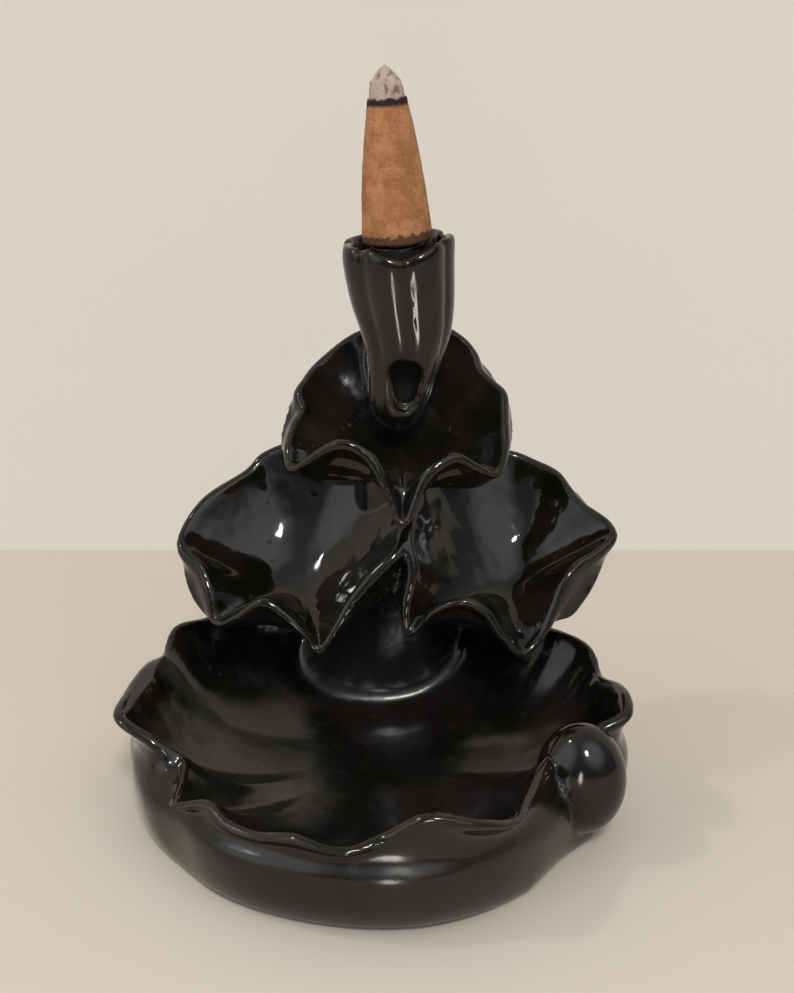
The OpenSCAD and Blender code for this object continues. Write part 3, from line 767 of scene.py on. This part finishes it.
def smooth_clay(mesh):
    """Evens out the cells, with a push back after each round so that nothing shrinks."""
    points, edges = points_of(mesh), edges_of(mesh)
    x, y, z = points.T / MM
    root = within(z, ROOT_Z) & (y > ROOT_FROM_Y) & (np.abs(x) < ROOT_REACH)
    leaf = within(z, LEAF_Z) & (y > LEAF_FROM_Y) & (from_cup(points) > LEAF_FROM_CUP)
    under = leaf & (points_of(mesh, "normal")[:, 2] < UNDER_UP)
    mouth = (np.abs(points / MM - MOUTH_MIDDLE) < MOUTH_HALF).all(1) & (y < MOUTH_TO_Y)
    cup = (z > CUP_FROM_Z) & (from_cup(points) < CUP_TO)
    share = np.where(cup, CUP_SHARE, 1)[:, None]

    for _ in range(UNDER_ROUNDS):
        gap = mean_of_neighbours(points, edges) - points
        tooth = leaf & (np.linalg.norm(gap, axis=1) > TOOTH * CELL * MM)
        evened = under | mouth | tooth
        points[evened] += PULL * gap[evened]
    for _ in range(SMOOTH_ROUNDS):
        for step in (PULL, PUSH_BACK):
            points += step * share * (mean_of_neighbours(points, edges) - points)
    for _ in range(ROOT_ROUNDS):
        points[root] += PULL * (mean_of_neighbours(points, edges) - points)[root]
    points[:, 2] = np.where(points[:, 2] < GROUND * MM, 0, points[:, 2])
    mesh.vertices.foreach_set("co", points.ravel())
    mesh.update()


clay = dish_body
for piece in (stem_body, left_leaf, right_leaf, upper_leaf, cup_body, knob_body):
    combine(clay, piece, "UNION")
for tool in (shaft, arch, frame_cut):
    combine(clay, tool, "DIFFERENCE")
print("united:", len(clay.data.polygons))

remesh = clay.modifiers.new("cells", "REMESH")
remesh.mode = "VOXEL"
remesh.voxel_size = CELL * MM
keep_result(clay)
smooth_clay(clay.data)
print("cells:", len(clay.data.polygons))

# %% [markdown]
# A glaze runs thin over every edge and pools in every hollow, and the edges also carry a painted
# highlight, so the finish needs to know where the clay is convex. Each vertex is compared with the
# mean of its neighbours, and the result is kept on the mesh as a number from 0 in a hollow to 1 on
# a sharp edge, with 0.5 on a plain face.

# %% How sharp each spot of the clay is
EDGE_ROUNDS = 5
EDGE_SCALE = 0.55


def sharpness(mesh):
    """A number for each vertex: 0.5 where the surface is flat, more on edges, less in hollows."""
    points, normals, edges = points_of(mesh), points_of(mesh, "normal"), edges_of(mesh)
    gap = points - mean_of_neighbours(points, edges)
    bend = (gap * normals).sum(1) / (CELL * MM) ** 2 * MM
    for _ in range(EDGE_ROUNDS):
        bend = mean_of_neighbours(bend, edges)
    return np.clip(0.5 + bend / EDGE_SCALE / 2, 0, 1)


def write(mesh, name, values):
    """Keeps one number for each vertex on the mesh."""
    mesh.attributes.new(name, "FLOAT", "POINT").data.foreach_set("value", values)


write(clay.data, "edge", sharpness(clay.data))

# %% [markdown]
# The even cells are more than the finish needs. The mesh is thinned where it is nearly flat, and
# it takes the fine mesh's normals and its sharpness with it, so that it still shades as smoothly.

# %% Fewer faces, with the fine mesh's numbers and normals
def thinned(obj, triangles):
    """A copy with fewer faces that still shades as the fine one does."""
    copy = obj.copy()
    copy.data = obj.data.copy()
    bpy.context.scene.collection.objects.link(copy)
    fewer = copy.modifiers.new("fewer", "DECIMATE")
    fewer.ratio = triangles / (2 * len(obj.data.polygons))
    keep_result(copy)
    if "edge" in copy.data.attributes:
        copy.data.attributes.remove(copy.data.attributes["edge"])
    copy.data.shade_smooth()
    transfer = copy.modifiers.new("shading", "DATA_TRANSFER")
    transfer.object = obj
    transfer.use_loop_data = True
    transfer.data_types_loops = {"CUSTOM_NORMAL"}
    transfer.loop_mapping = "POLYINTERP_NEAREST"
    keep_result(copy)
    near = KDTree(len(obj.data.vertices))
    for i, point in enumerate(points_of(obj.data)):
        near.insert(point, i)
    near.balance()
    spots = [near.find(point)[1] for point in points_of(copy.data)]
    value = np.empty(len(obj.data.vertices))
    obj.data.attributes["edge"].data.foreach_get("value", value)
    write(copy.data, "edge", value[spots])
    return copy


clay.data.shade_smooth()
burner = thinned(clay, TRIANGLES)
burner.data.validate()
bpy.data.objects.remove(clay)
burner.name = "burner"
burner.data.name = "burner"
print("burner triangles:", sum(len(f.vertices) - 2 for f in burner.data.polygons))

# %% [markdown]
# Use and making leave marks, each a number from 0 to 1 on the burner's vertices. The foot is bare
# clay, tar dulls the glaze round the mouth, and soot with a painted shade blackens the passage. The
# leaves were pressed by hand and are less even than the cup, and a haze lies on the dish's upper
# side.

# %% The marks of making and use, and a painted shade in the passage
BARE_Z, BARE_DOWN = 0.3, 0.5
# The tar lies in an egg of this size round the mouth; the leaves end where the cup is alone; the
# soot and painted shade begin this deep under the cup's outside, above its tip and under its seat
TAR_SIZE, TAR_END, TAR_FADE = (11, 14, 12), 1.5, 0.75
LEAFY_FROM_Z, LEAFY_FADE, CUP_ALONE_Z, CUP_FADE, CUP_CLEAR = 22, 8, 70, 4, 10.5
HAZE_TO_Z, HAZE_FADE, HAZE_UP, HAZE_LEAST = 20, 6, 3, 0.25
SOOT_SHADE_DEPTH, SOOT_SHADE_FADE, SOOT_SHADE_FROM, SOOT_SHADE_UNDER_SEAT = 0.9, 2.6, 0.12, 0.8


def depth_in_cup(points):
    """How deep points lie inside the cup's outside, and how far up they are from tip to seat."""
    up = (points[:, 2] - CUP_TIP_AT[2]) / (SEAT_AT[2] - CUP_TIP_AT[2])
    side, back, rise, width, _ = np.array(CUP_ROWS)[::-1].T
    shift = np.stack([np.interp(up, rise, side), np.interp(up, rise, back)], 1)
    middle = CUP_TIP_AT[:2] + up[:, None] * (SEAT_AT - CUP_TIP_AT)[:2] + CUP_R * shift
    off = np.linalg.norm(points[:, :2] - middle, axis=1)
    return CUP_R * np.interp(up, rise, width) - off, up


def mark(mesh):
    """Writes the marks on the burner's mesh."""
    points, facing = points_of(mesh), points_of(mesh, "normal")[:, 2]
    height = points[:, 2] / MM
    write(mesh, "bare", ((height < BARE_Z) & (-facing > BARE_DOWN)).astype(float))
    near = np.linalg.norm((points / MM - MOUTH_AT) / TAR_SIZE, axis=1)
    write(mesh, "tar", np.clip(TAR_END - near, 0, TAR_FADE) / TAR_FADE)
    off_cup = np.maximum((CUP_ALONE_Z - height) / CUP_FADE, from_cup(points) - CUP_CLEAR)
    write(mesh, "leafy", np.clip((height - LEAFY_FROM_Z) / LEAFY_FADE, 0, 1)
          * np.clip(off_cup, 0, 1))
    write(mesh, "haze", np.clip((HAZE_TO_Z - height) / HAZE_FADE, 0, 1)
          * np.clip(HAZE_UP * facing, HAZE_LEAST, 1))
    # Soot and a painted shade inside the passage, deeper than the cup's outside
    depth, up = depth_in_cup(points / MM)
    write(mesh, "soot_and_shade", np.clip((depth - SOOT_SHADE_DEPTH) / SOOT_SHADE_FADE, 0, 1)
          * ((up > SOOT_SHADE_FROM) & (height < SEAT_AT[2] - SOOT_SHADE_UNDER_SEAT)))


mark(burner.data)
print("marks:", sorted(a.name for a in burner.data.attributes if a.data_type == "FLOAT"))

# %% [markdown]
# The cone is incense powder pressed in a mould round a pin, which leaves a blind hole in its
# base. Its profile is drawn as posts and turned round, and each point is moved a little by
# noise: fine grains on the side, chips at the lower edge, and a broken crown of ash on top.

# %% The cone of incense
CONE_D = 12.7
CONE_H = 25.2
CONE_TOP_D = 6.9
CONE_SWELL = 0.4
CONE_EDGE = 0.5
ASH_D = 6
ASH_H = 2.9
ASH_PEAK = 3.1
BORE_D = 4
BORE_H = 18
BORE_POSTS = [[0, BORE_H], [BORE_D / 2, BORE_H], [BORE_D / 2, 0]]
CONE_COLUMNS = 150
# Distances between rings: on the bore's end, its wall, the base, the side and the ash
END_STEP, BORE_STEP, BASE_STEP, SIDE_STEP, ASH_STEP = 0.5, 0.8, 0.25, 0.22, 0.13
# How far the noise moves the side: grains, broad waves, and chips up to some height
GRAINS, WAVES, CHIPS, CHIPS_TO = 0.05, 0.07, 0.5, 1.1
# How far it moves the ash: lumps, cracks, a swell and its broken top
LUMPS, CRACKS, SWELL, BROKEN = 0.16, 0.3, 0.08, 0.1


def resampled(posts, step):
    """Points at even distances along a line of posts."""
    posts = np.array(posts, float)
    runs = np.concatenate([[0], np.cumsum(np.linalg.norm(np.diff(posts, axis=0), axis=1))])
    places = np.linspace(0, runs[-1], max(2, round(runs[-1] / step)))
    return np.stack([np.interp(places, runs, posts[:, k]) for k in range(posts.shape[1])], 1)


def cone_profile():
    """Radius and height from the bore's end to the ash's peak, and the number in the bore."""
    share = np.linspace(0, 1, 12)
    side = np.stack([CONE_D / 2 + (CONE_TOP_D - CONE_D) / 2 * share
                     + 4 * CONE_SWELL * share * (1 - share),
                     CONE_EDGE + (CONE_H - CONE_EDGE) * share], 1)
    ash = [[ASH_D / 2 + 0.15, CONE_H], [ASH_D / 2, CONE_H + ASH_H * 0.5],
           [ASH_D / 2 - 0.35, CONE_H + ASH_H], [ASH_D / 4, CONE_H + ASH_H + ASH_PEAK * 0.45],
           [0, CONE_H + ASH_H + ASH_PEAK * 0.93]]
    bore = np.concatenate([resampled(BORE_POSTS[:2], END_STEP)[:-1],
                           resampled(BORE_POSTS[1:], BORE_STEP)[:-1]])
    return np.concatenate([
        bore, resampled([BORE_POSTS[2], [CONE_D / 2 - CONE_EDGE, 0], side[0]], BASE_STEP)[:-1],
        resampled(side, SIDE_STEP)[:-1], resampled([side[-1], *ash], ASH_STEP)]), len(bore)


def roughness_at(point, size, octaves):
    """Smooth noise from about -1 to 1, whose lumps are about so many millimetres wide."""
    return noise.fractal(Vector(point) / size, 1.0, 2.0, octaves)


def side_shift(spot):
    """How far a point of the cone's side or base moves out: grains, waves and chips."""
    fine = roughness_at(spot + 11, 0.55, 3)
    broad = roughness_at(spot + 23, 4, 2)
    chip = max(0, roughness_at(spot + 31, 1.1, 2) - 0.15)
    low = max(0, 1 - spot[2] / CHIPS_TO)
    return GRAINS * fine + WAVES * broad - CHIPS * chip * low


def ash_shift(spot, r):
    """How far a point of the ash moves out and up: lumps, cracks and a broken top."""
    z = spot[2] - CONE_H
    lump = roughness_at(spot * vec(1, 1, 0.5) + 40, 1.3, 2)
    crack = -abs(roughness_at(spot * vec(1, 1, 0.35) + 7, 1.7, 3))
    out = min(1, z / 2) * (LUMPS * lump + CRACKS * crack + SWELL) * min(1, r / 1.2)
    top = min(1, max(0, z - ASH_H + 0.8) / 1.5)
    return out, top * min(BROKEN, 0.6 * roughness_at(spot * vec(1, 1, 0) + 3, 1.5, 2))


def cone():
    """The cone upright at the origin, grains, chips and ash included, then set on its seat."""
    rows, along = [], []
    turn = np.linspace(0, 2 * math.pi, CONE_COLUMNS, endpoint=False)
    profile, in_bore = cone_profile()
    for k, (r, z) in enumerate(profile):
        if r < 1e-6:
            rows.append(np.array([[0, 0, z]]))
            along.append(np.array([z]))
            continue
        ring = np.stack([r * np.cos(turn), r * np.sin(turn), np.full(len(turn), z)], 1)
        if k > in_bore:
            for point in ring:
                way = unit(vec(point[0], point[1], 0))
                out, lift = ash_shift(point, r) if z > CONE_H else (side_shift(point), 0)
                point += way * out + vec(0, 0, lift)
        rows.append(ring)
        along.append(np.full(len(ring), z))
    obj = skin("cone", rows)
    write(obj.data, "along", np.concatenate(along))
    tilt = Matrix.Rotation(-math.radians(LEAN), 4, "Y")
    place = Matrix.Translation(vec(*SEAT_AT) * MM) @ tilt @ Matrix.Translation((0, 0, 0.1 * MM))
    obj.data.transform(place)
    obj.data.shade_smooth()
    return obj


incense = cone()
print("cone faces:", len(incense.data.polygons), "top:",
      round(points_of(incense.data)[:, 2].max() / MM, 2))

# %% [markdown]
# Two finishes share one effect, small random specks: pits and iron specks in the glaze, grains
# in the powder. So the specks are a node group, built once, with their size and amount as inputs.
# The group gives out a mask and a height, and each material keeps its own shader.

# %% Specks, shared by the glaze and the powder
def specks_group():
    """Round specks of a given size in a random part of the cells."""
    t, start = new_group("Shader", "specks", {
        "Cells": ("Float", 900), "Size": ("Float", 0.25), "Share": ("Float", 0.3)},
        {"Mask": "Float", "Height": "Float"})
    place = t.add("ShaderNodeTexCoord", "Object")
    cells = t.add("ShaderNodeTexVoronoi", None, {"Vector": place, "Scale": start["Cells"]})
    chosen = t.add("ShaderNodeSeparateColor", "Red", {0: cells.outputs["Color"]}, mode="HSV")
    lucky = t.math("LESS_THAN", chosen, start["Share"])
    near = t.math("SUBTRACT", 1, t.math("DIVIDE", cells.outputs["Distance"], start["Size"]))
    mask = t.math("MULTIPLY", t.math("MAXIMUM", near, 0), lucky)
    return t.give_out(Mask=mask, Height=t.math("MULTIPLY", mask, mask))


specks = specks_group()


def placed(t, group, **values):
    """One use of a shader group in a material."""
    node = t.add("ShaderNodeGroup", None, node_tree=group)
    for label, value in values.items():
        node.inputs[label].default_value = value
    return node


def new_material(name, **shader):
    """A material with a Principled shader whose plain values are set on its own sockets."""
    material = bpy.data.materials.new(name)
    material.use_nodes = True
    t = Tree(material.node_tree)
    principled = material.node_tree.nodes["Principled BSDF"]
    for label, value in shader.items():
        principled.inputs[label.replace("_", " ")].default_value = value
    return material, t, principled


def mixed(t, share, a, b):
    """A mix of two colours by a share."""
    node = t.add("ShaderNodeMix", None, data_type="RGBA")
    t.set(node.inputs[0], share)
    t.set(node.inputs[6], a)
    t.set(node.inputs[7], b)
    return node.outputs[2]


def ramp(t, value, low, high, start=0, end=1):
    """Runs smoothly from its start at the low value to its end at the high one."""
    return t.add("ShaderNodeMapRange", interpolation_type="SMOOTHSTEP",
                 values={"Value": value, "From Min": low, "From Max": high,
                         "To Min": start, "To Max": end})


def attribute(t, name):
    """A number that the mesh carries."""
    return t.add("ShaderNodeAttribute", "Fac", attribute_name=name)


def noise_of(t, scale, detail, rough=0.5):
    """Smooth noise on the object's own coordinates."""
    place = t.add("ShaderNodeTexCoord", "Object")
    return t.add("ShaderNodeTexNoise", "Fac",
                 {"Vector": place, "Scale": scale, "Detail": detail, "Roughness": rough})


def spotted(t, dots, share, under, color):
    """A colour with specks of another one in it, as strong as the share says."""
    return mixed(t, t.math("MULTIPLY", dots.outputs["Mask"], share), under, color)


def bumped(t, shader, height):
    """Lets a height in millimetres bend the light on a surface."""
    bump = t.add("ShaderNodeBump", "Normal", {"Strength": 1.0, "Distance": MM, "Height": height})
    t.set(shader.inputs["Normal"], bump)


def dress(obj, material):
    """Gives an object one material."""
    obj.data.materials.clear()
    obj.data.materials.append(material)


# %% [markdown]
# The glaze is a thick black-brown glass. It is near black where it pools, lets some brown through
# on the edges, where its lighter colour is also a painted highlight, and has a few pits where gas
# left it in the kiln. Lighter clouds in its colour are partly its own uneven tone and partly a
# painted sheen. It waves with the clay under it, tar and haze dull it in places, and soot with a
# painted shade blackens the passage. One glossy layer carries both the shine and the waves, because
# a separate coat in the shader would stay flat over them.

# %% The glaze
def glaze():
    """Black-brown glass over clay, bare under the foot, dulled by tar and haze, blackened by soot
    and painted shade in the passage, with a painted highlight on its edges and a painted sheen in
    its clouds.
    """
    material, t, shader = new_material("glaze", Specular_IOR_Level=0.4, IOR=1.5)
    # The edges are lighter where the glaze runs thin, and this lighter colour is also a painted
    # highlight along the rims, broken up by noise.
    broken_up = ramp(t, noise_of(t, 160, 2), 0.35, 0.65)
    edge = t.math("MULTIPLY", ramp(t, attribute(t, "edge"), 0.6, 0.95), broken_up)
    bare = attribute(t, "bare")
    # Lighter clouds in the colour: partly the glaze's own uneven tone, partly a painted sheen.
    tone_and_sheen = ramp(t, noise_of(t, 60, 4, 0.55), 0.42, 0.68)
    dark = mixed(t, tone_and_sheen, (0.004, 0.0034, 0.0026, 1), (0.0095, 0.008, 0.0072, 1))
    thin_glaze_and_glint = mixed(t, edge, dark, (0.015, 0.012, 0.01, 1))
    iron = placed(t, specks, Cells=520, Size=0.3, Share=0.12)
    glass = spotted(t, iron, 0.3, thin_glaze_and_glint, (0.06, 0.043, 0.032, 1))
    # Soot and a painted shade make the passage near black and matt.
    soot_and_shade = attribute(t, "soot_and_shade")
    clay_color = mixed(t, bare, glass, (0.12, 0.085, 0.06, 1))
    t.set(shader.inputs["Base Color"], mixed(t, soot_and_shade, clay_color, (0.004, 0.0035, 0.003, 1)))
    matt = t.math("MAXIMUM", bare, soot_and_shade)
    film = t.math("MULTIPLY_ADD", ramp(t, noise_of(t, 150, 4, 0.6), 0.45, 0.75), 0.16, 0.07)
    film = t.math("MULTIPLY_ADD", attribute(t, "tar"), 0.1, film)
    film = t.math("MULTIPLY_ADD", attribute(t, "haze"), 0.13, film)
    t.set(shader.inputs["Roughness"], t.math("MAXIMUM", film, t.math("MULTIPLY", matt, 0.9)))
    pits = placed(t, specks, Cells=700, Size=0.22, Share=0.05)
    hand = t.math("MULTIPLY_ADD", attribute(t, "leafy"), 0.62, 0.18)
    bumped(t, shader, t.math("MULTIPLY_ADD", noise_of(t, 105, 2, 0.4), hand,
                             t.math("MULTIPLY", pits.outputs["Height"], -0.12)))
    return material


dress(burner, glaze())
print("glaze nodes:", len(burner.active_material.node_tree.nodes))

# %% [markdown]
# The powder is wood dust with pale and dark grains, darker in a ragged band along its lower
# edge. Its glow has left a purple-black band below the ash, and the ash stays in place as a pale
# grey, cracked crown.

# %% The incense, its char and its ash
def powder():
    """Pressed powder, charred near the top, with ash above; the mesh says how high each spot is."""
    material, t, shader = new_material("incense", Specular_IOR_Level=0.25)
    along = attribute(t, "along")
    ragged = t.math("MULTIPLY_ADD", noise_of(t, 900, 3), 0.9, along)
    patch = ramp(t, noise_of(t, 260, 4, 0.6), 0.35, 0.65)
    body = mixed(t, patch, (0.26, 0.11, 0.046, 1), (0.375, 0.18, 0.083, 1))
    pale = placed(t, specks, Cells=2100, Size=0.42, Share=0.45)
    dark = placed(t, specks, Cells=1700, Size=0.42, Share=0.45)
    body = spotted(t, pale, 0.5, body, (0.47, 0.26, 0.12, 1))
    body = spotted(t, dark, 0.6, body, (0.13, 0.05, 0.022, 1))
    # Darker in a ragged band along the cone's lower edge.
    crumbs = t.math("MULTIPLY_ADD", noise_of(t, 800, 3, 0.6), 2.6, along)
    low_edge_dark = ramp(t, crumbs, 3.5, 2.9)
    body = mixed(t, t.math("MULTIPLY", low_edge_dark, 0.85), body, (0.03, 0.016, 0.012, 1))
    char = ramp(t, ragged, CONE_H - 1.1, CONE_H - 0.3)
    body = mixed(t, char, body, (0.022, 0.010, 0.014, 1))
    crack = ramp(t, noise_of(t, 650, 4, 0.65), 0.36, 0.5)
    ash = mixed(t, crack, (0.15, 0.115, 0.095, 1), (0.39, 0.31, 0.26, 1))
    top = ramp(t, ragged, CONE_H + 0.35, CONE_H + 0.75)
    t.set(shader.inputs["Base Color"], mixed(t, top, body, ash))
    t.set(shader.inputs["Roughness"], ramp(t, noise_of(t, 400, 2), -1.5, 0.9))
    bumped(t, shader, t.math("MULTIPLY_ADD", noise_of(t, 2200, 3, 0.6), 0.16,
                             t.math("MULTIPLY", dark.outputs["Height"], -0.12)))
    return material


dress(incense, powder())
print("powder nodes:", len(incense.active_material.node_tree.nodes))

# %% [markdown]
# The burner stands on a plain cream counter in front of a plain cream wall. The wall is seen
# through from behind, so that the back of the burner can be looked at too. It shines a little of
# itself, in place of the light that a whole room would throw on it.

# %% The counter and the wall
FLOOR_COLOR = (0.56, 0.52, 0.46, 1)
WALL_COLOR = (0.69, 0.64, 0.575, 1)
WALL_Y = 0.132
REACH = 2
OWN_LIGHT = 0.7


def sheet_of(name, corners, color, backdrop=False):
    """A flat sheet of the stage, in one plain colour; a backdrop hides from behind."""
    mesh = bpy.data.meshes.new(name)
    mesh.from_pydata(corners, [], [(0, 1, 2, 3)])
    obj = added(name, mesh)
    material, t, shader = new_material(name, Base_Color=color, Roughness=0.6,
                                       Specular_IOR_Level=0.2)
    if backdrop:
        ray = t.add("ShaderNodeLightPath", None).outputs
        seen = t.math("MAXIMUM", ray["Is Camera Ray"], ray["Is Glossy Ray"])
        glow = t.add("ShaderNodeEmission", values={"Color": color})
        lit = t.add("ShaderNodeMixShader", None, {0: t.math("MULTIPLY", seen, OWN_LIGHT)})
        t.set(lit.inputs[1], shader.outputs[0])
        t.set(lit.inputs[2], glow)
        back = t.add("ShaderNodeNewGeometry", "Backfacing")
        clear = t.add("ShaderNodeBsdfTransparent")
        mix = t.add("ShaderNodeMixShader", None, {0: back})
        t.set(mix.inputs[1], lit.outputs[0])
        t.set(mix.inputs[2], clear)
        t.set(t.tree.nodes["Material Output"].inputs["Surface"], mix.outputs[0])
    dress(obj, material)
    return obj


square = [(-REACH, -REACH), (REACH, -REACH), (REACH, REACH), (-REACH, REACH)]
floor = sheet_of("floor", [(x, y, 0) for x, y in square], FLOOR_COLOR)
wall = sheet_of("wall", [(x, WALL_Y, max(z, 0)) for x, z in square], WALL_COLOR, backdrop=True)
print("stage:", floor.name, wall.name)

# %% [markdown]
# A glossy black thing shows its lamps more than its colour. The key lamp in front and above
# lights the counter and gives the leaves their glints, a small lamp high on the left gives the
# ball its own, and a narrow one low in front makes the upright streaks on the cup.

# %% The lamps
LAMP_COLOR = (1, 0.97, 0.93)


def lamp(name, at, aim, size, power):
    """A round lamp that looks at a point; places and sizes are in metres."""
    light = bpy.data.lights.new(name, "AREA")
    light.shape = "DISK"
    light.size = size
    light.energy = power
    light.color = LAMP_COLOR
    obj = added(name, light)
    obj.location = at
    obj.rotation_euler = (Vector(aim) - Vector(at)).to_track_quat("-Z", "Y").to_euler()
    return obj


lamp("key lamp", (0.12, -1.05, 1.0), (0, 0, 0.05), 0.2, 9)
lamp("left lamp", (-0.75, -0.1, 0.95), (0, 0, 0.05), 0.08, 1.5)
strip = lamp("low strip", (0.0, -0.17, 0.02), (0.004, 0.01, 0.09), 0.02, 0.045)
strip.data.shape = "ELLIPSE"
strip.data.size_y = 0.06

# %% [markdown]
# The rest of the room is a warm world that grows brighter towards its ceiling, with two soft
# glows: one in front on the right, as of a lit wall, for the sheens inside the leaves, and one on
# the left, as of a window. The camera itself sees a plain, brighter room behind the wall's end.

# %% The room
ROOM_COLOR = (1, 0.975, 0.94, 1)
ROOM_LOW, ROOM_HIGH, CEILING = 0.16, 0.55, 0.95
ROOM_SEEN = 0.65
GLOW_FROM, GLOW_FULL = 0.8, 0.99
world = bpy.data.worlds.new("room")
bpy.context.scene.world = world
world.use_nodes = True
w = Tree(world.node_tree)
way = w.add("ShaderNodeTexCoord", "Generated")


def glow(toward, strength):
    """A soft bright patch of the room's walls, seen from the burner in one direction."""
    facing = w.vmath("DOT_PRODUCT", way, toward, out="Value")
    return ramp(w, facing, GLOW_FROM, GLOW_FULL, 0, strength)


sky = ramp(w, w.add("ShaderNodeSeparateXYZ", "Z", {0: way}), 0, CEILING, ROOM_LOW, ROOM_HIGH)
level = w.math("ADD", sky, w.math("ADD", glow((0.37, -0.63, 0.68), 1.15),
                                  glow((-0.82, -0.4, 0.4), 1.2)))
background = world.node_tree.nodes["Background"]
background.inputs["Color"].default_value = ROOM_COLOR
seen = w.math("MULTIPLY", w.add("ShaderNodeLightPath", "Is Camera Ray"), ROOM_SEEN)
w.set(background.inputs["Strength"], w.math("MAXIMUM", level, seen))
bpy.context.scene.view_settings.view_transform = "Standard"
print("world nodes:", len(world.node_tree.nodes))

# %% [markdown]
# Last, the stage is told apart from the part, and each piece takes its node's place.

# %% Each piece under the root, in place of its node
for piece, node, finish in ((burner, "burner_body", "glaze"), (incense, "incense_cone", "incense")):
    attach(piece, "root")
    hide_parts(node)
